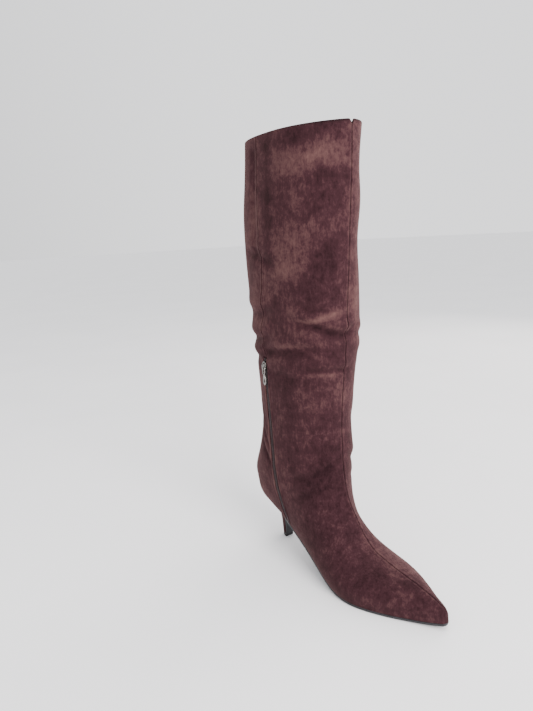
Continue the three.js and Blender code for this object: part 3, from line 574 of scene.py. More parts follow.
# Rows that round off the toe: narrower by the cosine and further ahead by the sine of a quarter turn, less so
# towards the top, which sinks instead. Gives their points and outward directions.
def toeTip(outline, normal):
    spec = upper
    angle = np.radians(spec["tipAngles"])[:, None, None]
    ahead = np.array([0, -1.0, 0])
    rise = outline[:, 2:] - outline[:, 2].min()
    rise = rise / rise.max()
    points = outline - outline * [1, 0, 0] * (1 - np.cos(angle))
    points += ahead * spec["tipRound"] * np.sin(angle) * (1 - rise**2)
    points -= np.array([0, 0, spec["tipSink"]]) * (1 - np.cos(angle)) * rise**3
    sideways = np.sign(outline[:, :1]) * [1.0, 0, 0]
    return points, unit((normal * 0.3 + sideways) * np.cos(angle) + ahead * np.sin(angle))


# Rows of the turned edge: half a circle from the outside over to the inside.
def turnedEdge(top, normal):
    below, collar = lastPoint(np.array([collarRow - 0.05, collarRow]), 0)
    angle = np.linspace(0, np.pi, upper["rimRows"] + 2)[1:-1, None, None]
    inwards = normal * (1 - np.cos(angle)) * boot["wall"] / 2
    return top - inwards + unit(collar - below) * np.sin(angle) * upper["rim"]


# Faces of the closed shell: both grids, the stitch inside the turned edge, the low edges of the foot as far
# as the row where they meet at the back, and the toe's last outline closed across.
def shellFaces(outside, inside, ridge, meet):
    outer = numberGrid(outside.shape[:2], rings=False)
    inner = numberGrid(inside.shape[:2], outer.size, rings=False)
    lowOuter, lowInner = outer[:meet + 1], inner[:meet // 2 + 1]
    return [
        gridQuads(outer), gridQuads(inner)[:, ::-1], stitchLines(outer[-1], inner[-1]),
        stitchLines(lowOuter[:, 0], lowInner[:, 0])[:, ::-1], stitchLines(lowOuter[:, -1], lowInner[:, -1]),
        closeAcross(outer[0], outside[0], ridge), closeAcross(inner[0], inside[0], ridge // 2)[:, ::-1],
        np.array([[outer[0, 0], outer[0, -1], inner[0, -1], inner[0, 0]]]),
    ]


# Marks that tell the material where seams with painted highlights on their edges, the lips' painted
# highlights, the hollow's painted shade, the troughs' painted shade, the nap's clouds with painted light,
# edge and lining are. pad repeats a grid's first row over the toe's tip and its last one over the turned
# edge.
def skinMarks(up, side, fromSide, zones, inside, pad):
    spec = upper
    fromFront, fromZip = np.abs(side), np.abs(fromSide)
    grids = {
        "seamLine": pad(np.maximum(hill(side, 0.55) * (0.3 + 0.7 * zones["offToe"]),
                                   hill(fromSide, 0.6) * zones["sideSeam"])),
        # painted highlight on the raised edges beside the seams
        "seamEdge": pad(np.maximum(hill(fromFront - 1.5, 0.8) * zones["offToe"],
                                   hill(fromZip - 1.5, 0.8) * zones["sideSeam"])),
        # painted highlight along the crests of the zip's lips
        "zipLipHighlight": pad(zones["zip"] * hill(fromZip - spec["lipAt"] + 0.5, 0.8)),
        "zipShade": pad(zones["zip"] * zones["hollow"]),
        # painted shade in the crease troughs
        "creaseShade": pad(np.clip(-creaseRelief(up, side), 0, 3) / 2),
        # nap tone with painted shade towards the foot and painted highlights and sheen in some clouds
        "napAndPaintedLight": pad(napAndPaintedLightTone(up, side)),
        "rimEdge": pad(ramp(up, *spec["rimDark"])),
        "inner": pad(0 * up),
    }
    grids["rimEdge"][-spec["rimRows"]:] = 1
    insideUp = inside[..., 2].ravel()
    facingEdge = boot["shaftHeight"] - spec["facing"]
    marks = {key: np.r_[grid.ravel(), 0 * insideUp] for key, grid in grids.items()}
    marks["inner"][-insideUp.size:] = 1 - ramp(insideUp, facingEdge - 0.5, facingEdge + 0.5)
    marks["seamLine"][-insideUp.size:] = hill(insideUp - facingEdge, 0.9)
    return marks


# The upper's closed shell: outside, the last's skin with its relief; inside, every second row and column of
# the same grid moved in by the wall; over the top, the turned edge.
def buildUpper():
    spec = upper
    t, travelled = skinRows()
    place, side, sideAt = skinColumns(t)
    closed = t >= closedRow - 1e-6
    skin = lastPoint(t[:, None], place)
    ease = 0.5 * hill(t - closedRow, spec["easeReach"])[:, None]
    ease = ease * (1 - ramp(np.abs(place), *spec["easeFade"]))
    for _ in range(spec["easeRounds"]):
        skin[1:-1] += ease[1:-1, :, None] * ((skin[2:] + skin[:-2]) / 2 - skin[1:-1])
    normal = gridNormals(skin, closed)
    up = skin[..., 2]
    fromSide = side - sideAt[:, None]  # round the boot from the inner seam, + towards the back
    zones = skinZones(t, up, side, fromSide)
    outside = skin + normal * skinRelief(skin, side, fromSide, zones)[..., None]

    # the nick in the collar above the front seam
    nick = np.clip(1 - np.abs(side) / spec["notchHalf"], 0, 1) * spec["notchDepth"]
    outside[..., 2] -= nick * ramp(up, boot["shaftHeight"] - spec["notchFrom"],
                                   boot["shaftHeight"] - spec["notchFull"])
    # where the rows close round the leg both their ends are one line
    outside[closed, 0] = outside[closed, -1] = (outside[closed, 0] + outside[closed, -1]) / 2

    tip, tipNormal = toeTip(outside[0], normal[0])
    outside, normal = np.concatenate([tip, outside]), np.concatenate([tipNormal, normal])
    halfWidth = np.abs(outside[..., 0]).max(1)
    thickness = np.minimum(boot["wall"], 0.3 * halfWidth)[:, None, None]
    inside = (outside - normal * thickness)[::2, ::2]
    outside = np.concatenate([outside, turnedEdge(outside[-1], normal[-1])])

    def pad(grid):
        start, end = np.repeat(grid[:1], len(tip), 0), np.repeat(grid[-1:], spec["rimRows"], 0)
        return np.concatenate([start, grid, end])

    flow = pad(np.stack([side, np.broadcast_to(travelled[:, None], side.shape)], -1)) * 0.001
    flowInside = flow[:-spec["rimRows"]][::2, ::2]
    ridge = (side[-1] > 0).sum()
    faces = shellFaces(outside, inside, ridge, len(tip) + spec["rows"][0])
    points = np.concatenate([outside.reshape(-1, 3), inside.reshape(-1, 3)])
    uv = np.concatenate([flow.reshape(-1, 2), flowInside.reshape(-1, 2)])
    return makePiece("upper_skin", points, faces, uv, skinMarks(up, side, fromSide, zones, inside, pad))


# Materials
suedeLook = {
    "deep": (0.0114, 0.0031, 0.0046, 1), "plain": (0.0348, 0.0121, 0.0156, 1),
    # the darkest tone is for the seam lines and the rim edge, and is painted shade in the zip's hollow
    "pale": (0.0940, 0.0460, 0.0420, 1), "seam": (0.0074, 0.0026, 0.0037, 1),
    "lining": (0.0296, 0.0133, 0.0133, 1), "liningShade": (0.021, 0.009, 0.009, 1),
    "cloudSize": 21, "mottleSize": 165, "strokeSize": 420, "napSize": 900, "fibreSize": 3200,
    "roughness": 0.93, "sheen": 0.13, "sheenTint": (0.98, 0.50, 0.46, 1),
}


class NodeBench:
    # a small helper that adds and links shader nodes
    def __init__(self, name):
        self.material = bpy.data.materials.new(name)
        self.material.use_nodes = True
        self.tree = self.material.node_tree
        self.shader = self.tree.nodes["Principled BSDF"]
        self.coords = self.tree.nodes.new("ShaderNodeTexCoord")

    def put(self, socket, value):
        if isinstance(value, bpy.types.NodeSocket):
            self.tree.links.new(value, socket)
        elif value is not None:
            socket.default_value = value

    def noise(self, size, detail=4, rough=0.55, vector=None, distortion=0.0):
        node = self.tree.nodes.new("ShaderNodeTexNoise")
        self.put(node.inputs["Vector"], vector or self.coords.outputs["Object"])
        node.inputs["Scale"].default_value = size
        node.inputs["Detail"].default_value = detail
        node.inputs["Roughness"].default_value = rough
        node.inputs["Distortion"].default_value = distortion
        return node.outputs["Fac"]

    def stretched(self, scale):
        node = self.tree.nodes.new("ShaderNodeMapping")
        self.put(node.inputs["Vector"], self.coords.outputs["Object"])
        node.inputs["Scale"].default_value = scale
        return node.outputs["Vector"]

    def math(self, kind, a, b, clamp=False):
        node = self.tree.nodes.new("ShaderNodeMath")
        node.operation = kind
        node.use_clamp = clamp
        self.put(node.inputs[0], a)
        self.put(node.inputs[1], b)
        return node.outputs[0]

    def total(self, first, *others):
        for other in others:
            first = self.math("ADD", first, other)
        return first

    def mix(self, factor, a, b):
        node = self.tree.nodes.new("ShaderNodeMix")
        node.data_type = "RGBA"
        self.put(node.inputs["Factor"], factor)
        self.put(node.inputs[6], a)
        self.put(node.inputs[7], b)
        return node.outputs[2]

    def mark(self, name, strength=1):
        node = self.tree.nodes.new("ShaderNodeAttribute")
        node.attribute_name = name
        return self.math("MULTIPLY", node.outputs["Fac"], strength)

    def spread(self, value, low, high, toLow=0.0, toHigh=1.0):
        node = self.tree.nodes.new("ShaderNodeMapRange")
        for socket, number in zip(node.inputs[1:5], (low, high, toLow, toHigh)):
            socket.default_value = number
        self.put(node.inputs[0], value)
        return node.outputs[0]

    def bump(self, height, strength, distance, after=None):
        node = self.tree.nodes.new("ShaderNodeBump")
        node.inputs["Strength"].default_value = strength
        node.inputs["Distance"].default_value = distance
        self.put(node.inputs["Height"], height)
        self.put(node.inputs["Normal"], after)
        return node.outputs["Normal"]

    def finish(self, colour, roughness, normal, **fixed):
        self.put(self.shader.inputs["Base Color"], colour)
        self.put(self.shader.inputs["Roughness"], roughness)
        self.put(self.shader.inputs["Normal"], normal)
        for name, value in fixed.items():
            self.shader.inputs[name.replace("_", " ")].default_value = value
        return self.material


# Brushed suede: clouds of nap laid either way, a mottle, short fibres and dark seam lines, with painted
# light: shade painted into the crease troughs, the zip's hollow and towards the foot, highlights painted on
# the lips, the seam edges and some clouds.
def suedeMaterial(name):
    n = NodeBench(name)
    look = suedeLook
    cloud = n.noise(look["cloudSize"], 5, 0.6, distortion=0.6)
    mottle = n.noise(look["mottleSize"], 5, 0.65, distortion=0.4)
    stroke = n.noise(look["strokeSize"], 3, 0.6, n.stretched((1, 1, 0.28)), distortion=0.5)
    nap = n.noise(look["napSize"], 4, 0.7, n.stretched((1, 1, 0.45)))
    fibre = n.noise(look["fibreSize"], 3, 0.6)
    # the nap mark carries painted shade and highlights, the troughs are painted shade, the lips and seam
    # edges painted highlights
    lay = n.total(n.spread(cloud, 0.36, 0.64, -0.42, 0.42), n.spread(mottle, 0.34, 0.66, -0.34, 0.34),
                  n.spread(stroke, 0.34, 0.66, -0.2, 0.2), n.spread(nap, 0.3, 0.7, -0.25, 0.25),
                  n.mark("napAndPaintedLight", 0.75), n.mark("creaseShade", -0.55), n.mark("zipLipHighlight", 0.9),
                  n.mark("seamEdge", 0.25))
    colour = n.mix(n.spread(lay, -1.1, 0.1, 1, 0), look["plain"], look["deep"])
    colour = n.mix(n.spread(lay, -0.1, 1.3, 0, 1), colour, look["pale"])
    # darkest tone on the seam lines and the rim edge, and painted shade in the zip's hollow
    line = n.math("MAXIMUM", n.mark("seamLine", 0.62), n.mark("rimEdge", 0.85))
    line = n.math("MAXIMUM", line, n.mark("zipShade", 0.8), clamp=True)
    colour = n.mix(line, colour, look["seam"])
    cloth = n.mix(n.spread(n.noise(1500, 2), 0.4, 0.6), look["lining"], look["liningShade"])
    colour = n.mix(n.mark("inner"), colour, cloth)
    rough = n.spread(lay, -1, 1, look["roughness"], look["roughness"] - 0.07)
    soft = n.bump(mottle, 0.35, 0.0009)
    fine = n.bump(n.math("ADD", nap, n.math("MULTIPLY", fibre, 0.6)), 0.55, 0.00028, soft)
    return n.finish(colour, rough, fine, Sheen_Weight=look["sheen"], Sheen_Roughness=0.42,
                    Sheen_Tint=look["sheenTint"], Specular_IOR_Level=0.11)


# Puts one material on a mesh of this file, or on a node of the part itself.
def dress(piece, material):
    piece.data.materials.clear()
    piece.data.materials.append(material)


def dressNode(name, material):
    node = frame["nodes"][name]
    if not node.material_slots:
        node.data.materials.append(material)
    for slot in node.material_slots:
        slot.material = material


upperSkin = buildUpper()
dress(upperSkin, suedeMaterial("brushedSuede"))
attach(upperSkin, "body")
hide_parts("upper")
print("stage: upper,", len(upperSkin.data.polygons), "faces")

# The zip
zipLook = {
    "from": 44.8, "to": 237.4, "pitch": 1.28,
    "halfWidth": 2.1, "toothHalf": 0.5, "toothRise": 0.62, "toothSides": 8,
    "coilMiddle": -0.25, "stagger": 0.28,
    # stations along a tooth, as shares of its half width, and its thickness there
    "toothStations": (-1, -0.92, -0.3, 0.3, 0.92, 1), "toothSizes": (0.35, 0.85, 1, 1, 0.85, 0.35),
    # half of the section of the core that the teeth are sewn on: across and out
    "coreSection": ((1.75, -1.2), (1.75, -0.75), (1.2, -0.5)), "coreTop": -0.42, "coreSteps": 220,
    "tapeHalf": 3.25, "tapeTop": -1.32, "tapeThickness": 0.65, "tapeSteps": 260, "tapeColumns": 13,
    "crown": 0.06, "crownBend": 2.4,
    "ribs": 420, "tapeDark": (0.007, 0.002, 0.003, 1), "tapeRib": (0.018, 0.006, 0.008, 1),
    "tapeRubbed": (0.026, 0.010, 0.012, 1),
    "coilDark": (0.013, 0.0035, 0.005, 1), "coilPale": (0.030, 0.010, 0.012, 1),
}


# Path of the zip down the inner seam: its points, at each the directions across, along and outwards, and its
# whole length.
def zipPath(steps):
    t = np.linspace(frontOfZip, collarRow, 2400)
    share = sideSeamShare(t)
    line = lastPoint(t, share)
    inside = (line[:, 2] >= zipLook["from"]) & (line[:, 2] <= zipLook["to"]) & (share > -0.999)
    t, share, line = t[inside], share[inside], line[inside]
    travelled = lengthAlong(line)
    at = np.linspace(0, travelled[-1], steps)
    t, share = np.interp(at, travelled, t), np.interp(at, travelled, share)
    line = np.stack([np.interp(at, travelled, line[:, k]) for k in range(3)], 1)
    up = lastPoint(t + 0.03, share) - lastPoint(t - 0.03, share)
    around = lastPoint(t, share + 0.01) - lastPoint(t, share - 0.01)
    outward = unit(np.cross(around, up))
    along = unit(np.gradient(line, axis=0))
    return line, unit(np.cross(along, outward)), along, outward, travelled[-1]


# The tape: a flat strip whose top is a little crowned, carried along the zip.
def buildTape():
    spec = zipLook
    steps, top = spec["tapeSteps"], spec["tapeTop"]
    line, across, _, outward, length = zipPath(steps)
    x = np.linspace(-spec["tapeHalf"], spec["tapeHalf"], spec["tapeColumns"])
    crown = spec["crown"] * np.cos(x * spec["crownBend"])
    profile = np.concatenate([np.c_[x, top + crown], np.c_[x[::-1], top - spec["tapeThickness"] + 0 * x]])
    points, faces = carryProfile(line, across, outward, profile)
    flow = np.zeros((len(points), 2))
    flow[:steps * len(profile), 0] = np.tile(profile[:, 0] * 0.001, steps)
    flow[:steps * len(profile), 1] = np.repeat(np.linspace(0, length * 0.001, steps), len(profile))
    return makePiece("zip_tape_cloth", points, faces, flow)


# Each tooth of the coil is a short bar across the zip with a rounded section, thinner at its two ends, and
# neighbours are shifted to either side, so that they read as interlocked. A core runs below them.
def buildCoil():
    spec = zipLook
    count = int(zipPath(10)[-1] / spec["pitch"])
    line, across, along, outward, _ = zipPath(count)
    angle = fullTurn(spec["toothSides"]) + np.pi / spec["toothSides"]
    size = np.array(spec["toothSizes"])[:, None]
    tooth = np.stack(np.broadcast_arrays(
        np.array(spec["toothStations"])[:, None] * spec["halfWidth"],
        spec["toothHalf"] * np.cos(angle) * size,
        spec["coilMiddle"] + spec["toothRise"] * np.sin(angle) * size), -1)
    stations, sides = tooth.shape[:2]
    shift = np.where(np.arange(count) % 2, 1, -1) * spec["stagger"]
    local = tooth.reshape(1, -1, 3) + np.stack([shift, 0 * shift, 0 * shift], -1)[:, None]
    axes = np.stack([across, along, outward], 1)
    teeth = line[:, None] + local @ axes
    index = numberGrid((stations, sides))
    start = (np.arange(count) * stations * sides)[:, None, None]
    caps = np.stack([index[0, -2::-1], index[-1, :-1]])
    faces = [(gridQuads(index) + start).reshape(-1, 4), (caps + start).reshape(-1, sides)]
    half = np.array(spec["coreSection"])
    profile = np.concatenate([half * [-1, 1], [[0, spec["coreTop"]]], half[::-1]])
    line, across, _, outward, _ = zipPath(spec["coreSteps"])
    corePoints, coreFaces = carryProfile(line, across, outward, profile, count * stations * sides)
    return makePiece("zip_coil_teeth", np.concatenate([teeth.reshape(-1, 3), corePoints]), faces + coreFaces)


# Woven tape: ribs across its length and a faint twill, from the piece's own flow map.
def tapeMaterial():
    n = NodeBench("zipTapeCloth")
    wave = n.tree.nodes.new("ShaderNodeTexWave")
    n.put(wave.inputs["Vector"], n.coords.outputs["UV"])
    wave.bands_direction = "Y"
    wave.inputs["Scale"].default_value = zipLook["ribs"]
    wave.inputs["Distortion"].default_value = 0.6
    rib = wave.outputs["Fac"]
    colour = n.mix(rib, zipLook["tapeDark"], zipLook["tapeRib"])
    colour = n.mix(n.spread(n.noise(90), 0.4, 0.65, 0, 0.5), colour, zipLook["tapeRubbed"])
    normal = n.bump(n.noise(2600, 2), 0.3, 0.0001, n.bump(rib, 0.6, 0.0002))
    return n.finish(colour, 0.86, normal, Sheen_Weight=0.2, Specular_IOR_Level=0.25)


# Dull nylon, uneven in tone and gloss.
def coilMaterial():
    n = NodeBench("zipCoilNylon")
    colour = n.mix(n.spread(n.noise(260, 4), 0.35, 0.65), zipLook["coilDark"], zipLook["coilPale"])
    rough = n.spread(n.noise(500, 3), 0.35, 0.65, 0.38, 0.56)
    return n.finish(colour, rough, n.bump(n.noise(1800, 3), 0.2, 0.0001), Specular_IOR_Level=0.45)


zipTape = buildTape()
dress(zipTape, tapeMaterial())
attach(zipTape, "body")
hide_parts("zip_tape")
zipCoil = buildCoil()
dress(zipCoil, coilMaterial())
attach(zipCoil, "body")
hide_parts("zip_coil")
print("stage: zip,", len(zipCoil.data.polygons), "faces")

# Slider and pull, in the slider's own frame: x across the zip, y up it, z out of the boot
sliderLook = {
    "length": 11, "width": 7.4, "under": 0.8, "top": 2.0, "metal": (0.17, 0.163, 0.152, 1),
    # the plate's rounded edge: how far each ring is above the underside or below the top, and its scale
    "lowRings": (0, 0.05, 0.2), "highRings": (0.45, 0.22, 0.07, 0, -0.02),
    "ringScales": (0.9, 0.97, 1, 1, 0.985, 0.95, 0.88, 0.5),
    "bridge": 2.85, "bridgeWidth": 1.8, "bridgeThickness": 0.9, "bridgeFoot": 1.6, "bridgeMiddle": 4.25,
    "bridgeSquare": 0.42,
    # the plate is narrower at its lower end, widens over the waist and draws in again over the nose
    "tail": 0.74, "waist": (-2.2, 2.2), "nose": (2.6, 5.8), "noseCut": 0.30,
}
pullLook = {
    "barUp": -1.5, "barHeight": 2.9, "barRadius": 0.6, "barHalf": 2.8, "barSides": 16,
    # how far in from the bar's end each station lies, and its share of the radius
    "barStations": (0, 0.05, 0.25, 1.8), "barSizes": (0.3, 0.7, 1, 1),
    "eyeHalf": 2.15, "armWidth": 1.3, "neck": -9.5, "yokeOverlap": 0.1, "leafOverlap": 0.5,
    "leafWidth": 6.0, "leafBottom": -21.5, "thickness": 1.2, "holeWidth": 2.4, "holeTop": -12.1,
    "holeBottom": -18.5, "metal": (0.225, 0.217, 0.203, 1),
}


# The slider's frame: its bar is the pull's hinge, outwards is the skin's own direction there.
def sliderFrame():
    hinge = frame["joints"][0]
    bar = np.array(hinge["pos_m"]) * 1000
    across = -np.array(hinge["axis"])
    line, _, _, outward, _ = zipPath(600)
    near = np.argmin(np.linalg.norm(line - bar, axis=1))
    out = unit(outward[near] - across * (outward[near] @ across))
    up = np.cross(out, across)
    return np.array([across, up, out]), bar - up * pullLook["barUp"] - out * pullLook["barHeight"]


# A rounded bar's section, "wide" along the first direction and "thick" along the second.
def barSection(wide, thick):
    angle = fullTurn(16)
    return np.c_[wide / 2 * power(np.cos(angle), 0.7), thick / 2 * power(np.sin(angle), 0.7)]


# The slider: a plate that narrows towards both ends, with a bridge, a squared half circle, over it.
def buildSlider(axes, origin):
    spec = sliderLook
    angle = fullTurn(96)
    y = spec["length"] / 2 * power(np.sin(angle), 0.8)
    taper = spec["tail"] + (1 - spec["tail"]) * ramp(y, *spec["waist"])
    taper -= spec["noseCut"] * ramp(y, *spec["nose"])
    outline = np.c_[spec["width"] / 2 * power(np.cos(angle), 0.72) * taper, y]
    heights = [spec["under"] + v for v in spec["lowRings"]] + [spec["top"] - v for v in spec["highRings"]]
    points, faces = stackRings(outline, spec["ringScales"], heights)
    angle, square = np.linspace(0, np.pi, 40), spec["bridgeSquare"]
    rise = spec["bridgeMiddle"] - spec["bridgeFoot"]
    centre = np.c_[0 * angle, spec["bridge"] * power(np.cos(angle), square),
                   spec["bridgeFoot"] + rise * power(np.sin(angle), square)]
    wide = np.tile([1.0, 0, 0], (len(centre), 1))
    out = np.cross(unit(np.gradient(centre, axis=0)), wide)
    section = barSection(spec["bridgeWidth"], spec["bridgeThickness"])
    bridge, bridgeFaces = carryProfile(centre, wide, out, section, len(points))
    return makePiece("zip_slider_body", np.concatenate([points, bridge]) @ axes + origin, faces + bridgeFaces)


# A drop: narrow above its widest line and round below it.
def dropOutline(width, top, bottom, angle):
    widest = bottom + 0.36 * (top - bottom)
    rise = np.cos(angle)
    y = widest + rise * np.where(rise > 0, top - widest, widest - bottom)
    return np.c_[-width / 2 * np.sin(angle) * (1 - 0.25 * np.maximum(rise, 0)), y]


# The pull: a round bar under the bridge, an eye of two arms that join in a yoke, and a leaf, which is a band
# between two drops with rounded edges.
def buildPull(axes, origin):
    spec = pullLook
    height, barUp = spec["barHeight"], spec["barUp"]
    x = spec["barHalf"] - np.array(spec["barStations"])
    radius = spec["barRadius"] * np.r_[spec["barSizes"], spec["barSizes"][::-1]][:, None]
    angle = fullTurn(spec["barSides"])
    bar = np.stack(np.broadcast_arrays(np.r_[-x, x[::-1]][:, None], barUp + radius * np.cos(angle),
                                       height + radius * np.sin(angle)), -1)
    ring = numberGrid(bar.shape[:2])
    barFaces = [gridQuads(ring), ring[[0], -2::-1], ring[[-1], :-1]]

    bend = np.linspace(np.pi, 2 * np.pi, 48)
    drop = barUp - spec["neck"] - spec["yokeOverlap"]
    centre = np.c_[spec["eyeHalf"] * power(np.cos(bend), 0.5), barUp + drop * power(np.sin(bend), 0.5),
                   0 * bend + height]
    out = np.tile([0, 0, 1.0], (len(centre), 1))
    across = np.cross(unit(np.gradient(centre, axis=0)), out)
    first = bar[..., 0].size
    eye, eyeFaces = carryProfile(centre, across, out, barSection(spec["armWidth"], spec["thickness"]), first)

    turn = fullTurn(72)
    leafTop = spec["neck"] + spec["leafOverlap"]
    outer = dropOutline(spec["leafWidth"], leafTop, spec["leafBottom"], turn)[:, None]
    inner = dropOutline(spec["holeWidth"], spec["holeTop"], spec["holeBottom"], turn)[:, None]
    section = fullTurn(20)
    flat = (outer + inner) / 2 + (outer - inner) / 2 * power(np.cos(section), 0.6)[None, :, None]
    thick = height + spec["thickness"] / 2 * power(np.sin(section), 0.7)
    leaf = np.concatenate([flat, np.broadcast_to(thick[None, :, None], flat.shape[:2] + (1,))], -1)
    ring = numberGrid(leaf.shape[:2], first + len(eye))
    leafFaces = gridQuads(np.concatenate([ring, ring[:1]]))
    points = np.concatenate([bar.reshape(-1, 3), eye, leaf.reshape(-1, 3)])
    return makePiece("zip_pull_tab", points @ axes + origin, barFaces + eyeFaces + [leafFaces])


# Polished nickel with fine rub marks and a little dullness in patches.
def nickelMaterial(name, tone):
    n = NodeBench(name)
    rub = n.noise(900, 4, 0.65, n.stretched((1, 1, 7)))
    patch = n.noise(220, 4)
    colour = n.mix(n.spread(patch, 0.4, 0.65), tone, tuple(v * 0.72 for v in tone[:3]) + (1,))
    rough = n.math("ADD", n.spread(rub, 0.3, 0.7, 0.12, 0.26), n.spread(patch, 0.4, 0.7, 0, 0.1))
    return n.finish(colour, rough, n.bump(rub, 0.16, 0.00008), Metallic=1.0)


axes, origin = sliderFrame()
zipSlider = buildSlider(axes, origin)
dress(zipSlider, nickelMaterial("sliderNickel", sliderLook["metal"]))
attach(zipSlider, "body")
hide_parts("zip_slider")
zipPull = buildPull(axes, origin)
dress(zipPull, nickelMaterial("pullNickel", pullLook["metal"]))
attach(zipPull, "pull")
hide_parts("zip_pull")
print("stage: slider and pull")

# The heel and its top lift
heelLook = {
    "tipLength": 9.5, "tipWidth": 11, "tipFullness": 0.9, "topLift": 4.5, "gap": 0.3,
    "breast": 24, "inset": 0.5, "seatGap": 0.05, "breastDrop": 0.25, "cornerTurn": 0.22,
    "aroundSteps": 96, "frontSteps": 14, "downSteps": 90, "rollFrom": 0.006, "rollIn": 0.02,
    "liftAround": 60, "liftFront": 12,
    # the top lift's rounded edges: heights from the floor, depths below its top, and the rings' scales
    "liftLow": (0, 0.05, 0.22, 0.55), "liftHigh": (0.3, 0.08, 0),
    "liftScales": (0.90, 0.96, 0.99, 1, 1, 0.985, 0.96),
    "black": (0.0044, 0.0044, 0.0050, 1), "worn": (0.0165, 0.0165, 0.0176, 1),
}
# share of the height below the seat, share of the seat's outline that is left
heelRows = np.array([[0, 1], [0.05, 0.8], [0.12, 0.6], [0.22, 0.41], [0.35, 0.25], [0.52, 0.12], [0.74, 0.04],
                     [1, 0]])


# Outline of the tip at angles from the inner front corner (-90) over the back (0) to the outer one (90).
def tipOutline(angle):
    spec = heelLook
    x = spec["tipWidth"] / 2 * power(np.sin(angle), spec["tipFullness"])
    ahead = spec["tipLength"] / 2 - spec["tipLength"] * np.abs(np.cos(angle)) ** spec["tipFullness"]
    return np.c_[x, -ahead]


# Outline of the seat at the same angles: the upper's low edge from the breast round the back, set in a little
# and lowered at its two front corners.
def seatOutline(angle, corner):
    spec = heelLook
    fine = np.linspace(12, closedRow, 800)
    breastRow = np.interp(-spec["breast"], lastPoint(fine, -1)[:, 1], fine)
    halfRows = np.arange(0, closedRow + 0.5, 0.5)
    rows = np.r_[breastRow, halfRows[halfRows > breastRow + 0.2]]
    t = np.interp(np.abs(angle), np.linspace(0, np.pi / 2, len(rows)), rows[::-1])
    low = lastPoint(t, np.where(angle < 0, -1.0, 1.0))
    x = np.maximum(np.abs(low[:, 0]) - spec["inset"], 0)
    back = spec["inset"] * (1 - np.minimum(1, x / spec["tipLength"]))
    lowered = spec["seatGap"] + spec["breastDrop"] * corner
    return np.c_[np.sign(angle) * x, low[:, 1] + back, low[:, 2] - lowered]


# The heel: the seat's outline shrinks to the tip's by the shares of heelRows, while the height falls evenly.
# The front is closed straight across, and the covering is rolled in a little at the seat.
def buildHeel():
    spec = heelLook
    angle = np.linspace(-np.pi / 2, np.pi / 2, spec["aroundSteps"] + 1)
    corner = 1 - ramp(np.pi / 2 - np.abs(angle), 0, spec["cornerTurn"])
    seat = seatOutline(angle, corner)
    tip = tipOutline(angle)
    down = np.r_[0, np.linspace(spec["rollFrom"], 1, spec["downSteps"])]
    place = np.interp(down, heelRows[:, 0], np.arange(len(heelRows)))
    spread = smoothRows(heelRows[:, 1:], place)[:, :, None]
    flat = tip + (seat[:, :2] - tip) * spread
    high = seat[:, 2] + (spec["topLift"] - seat[:, 2]) * down[:, None]
    grid = closeStraight(np.concatenate([flat, high[..., None]], -1), spec["frontSteps"])
    grid[0] += (grid[0].mean(0) - grid[0]) * spec["rollIn"]
    points, faces = closedTube(grid)
    # dark lines at the seat, at the top lift and along the front corners
    edge = np.r_[corner, np.ones(spec["frontSteps"] - 1)]
    line = np.maximum(np.maximum(hill(down, 0.012), hill(down - 1, 0.008))[:, None], 0.8 * edge**4)
    # the whole cover gets a deeper tone through the nap mark: painted shade over the heel
    marks = {"seamLine": np.r_[line.ravel(), 0, 0], "napAndPaintedLight": np.r_[np.full(line.size, -0.8), 0, 0]}
    return makePiece("heel_cover", points, faces, None, marks)


# The top lift: the tip's outline, closed across its front, stacked in rings with rounded edges.
def buildTopLift():
    spec = heelLook
    angle = np.linspace(-np.pi / 2, np.pi / 2, spec["liftAround"] + 1)
    outline = closeStraight(tipOutline(angle), spec["liftFront"])
    top = spec["topLift"] - spec["gap"]
    heights = list(spec["liftLow"]) + [top - v for v in spec["liftHigh"]]
    return makePiece("top_lift_cap", *stackRings(outline, spec["liftScales"], heights))


# Black dressed edge and sole: satin, rubbed a little grey where it meets the ground.
def soleMaterial(name, dark, worn, rough):
    n = NodeBench(name)
    grain = n.noise(700, 4, 0.6)
    rub = n.noise(60, 5, 0.65)
    colour = n.mix(n.spread(rub, 0.45, 0.68, 0, 0.6), dark, worn)
    roughness = n.spread(n.noise(120, 4), 0.35, 0.65, rough - 0.08, rough + 0.12)
    scratch = n.noise(400, 3, 0.5, n.stretched((6, 0.6, 6)))
    normal = n.bump(scratch, 0.12, 0.0003, n.bump(grain, 0.22, 0.0003))
    return n.finish(colour, roughness, normal, Specular_IOR_Level=0.42)


heelCover = buildHeel()
dress(heelCover, suedeMaterial("heelSuede"))
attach(heelCover, "body")
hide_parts("heel")
topLift = buildTopLift()
dress(topLift, soleMaterial("topLift", heelLook["black"], heelLook["worn"], 0.5))
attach(topLift, "body")
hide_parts("top_lift")
print("stage: heel")

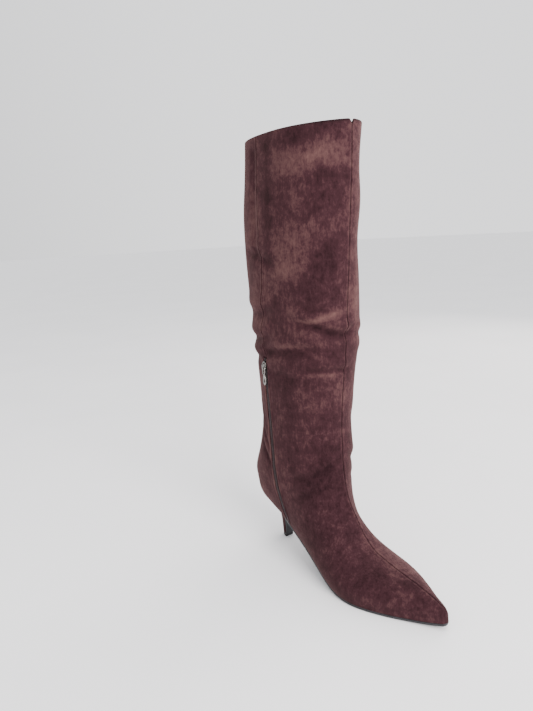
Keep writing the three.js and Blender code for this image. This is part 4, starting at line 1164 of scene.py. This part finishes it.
# Outsole and insole, which are the part's own solids
soleLook = {"black": (0.0066, 0.0066, 0.0083, 1), "worn": (0.0248, 0.0253, 0.0286, 1), "roughness": 0.42}
insoleLook = {"dark": (0.066, 0.034, 0.032, 1), "pale": (0.100, 0.056, 0.050, 1), "pores": 900}


# Lining of the insole: smooth synthetic leather with small pores and heel wear.
def insoleMaterial():
    n = NodeBench("insoleLining")
    pore = n.tree.nodes.new("ShaderNodeTexVoronoi")
    n.put(pore.inputs["Vector"], n.coords.outputs["Object"])
    pore.inputs["Scale"].default_value = insoleLook["pores"]
    colour = n.mix(n.spread(n.noise(30, 5), 0.35, 0.7), insoleLook["dark"], insoleLook["pale"])
    rough = n.spread(n.noise(150, 4), 0.35, 0.65, 0.62, 0.8)
    return n.finish(colour, rough, n.bump(pore.outputs["Distance"], 0.3, 0.0002), Specular_IOR_Level=0.3)


dressNode("outsole", soleMaterial("soleEdge", soleLook["black"], soleLook["worn"], soleLook["roughness"]))
dressNode("insole", insoleMaterial())
print("stage: sole and insole")

# Floor, in metres
floorLook = {"half": 30, "below": 0.0004, "steps": 8,
             "grey": (0.91, 0.91, 0.92, 1), "pale": (0.93, 0.93, 0.94, 1)}


# Plain pale floor with the faintest cloud of tone.
def floorMaterial():
    n = NodeBench("paleFloor")
    tone = n.mix(n.spread(n.noise(3, 3), 0.4, 0.6), floorLook["grey"], floorLook["pale"])
    return n.finish(tone, 0.7, n.bump(n.noise(120, 3), 0.05, 0.001))


span = np.linspace(-1, 1, floorLook["steps"] + 1) * floorLook["half"]
floorX, floorY = np.meshgrid(span, span, indexing="ij")
floorPoints = np.stack([floorX, floorY, 0 * floorX - floorLook["below"]], -1).reshape(-1, 3)
floorFaces = gridQuads(numberGrid(floorX.shape, rings=False))[:, ::-1]
floorMesh = bpy.data.meshes.new("floor")
floorMesh.from_pydata(floorPoints.tolist(), [], floorFaces.tolist())
floor = bpy.data.objects.new("floor", floorMesh)
bpy.context.scene.collection.objects.link(floor)
dress(floor, floorMaterial())
print("stage: floor")
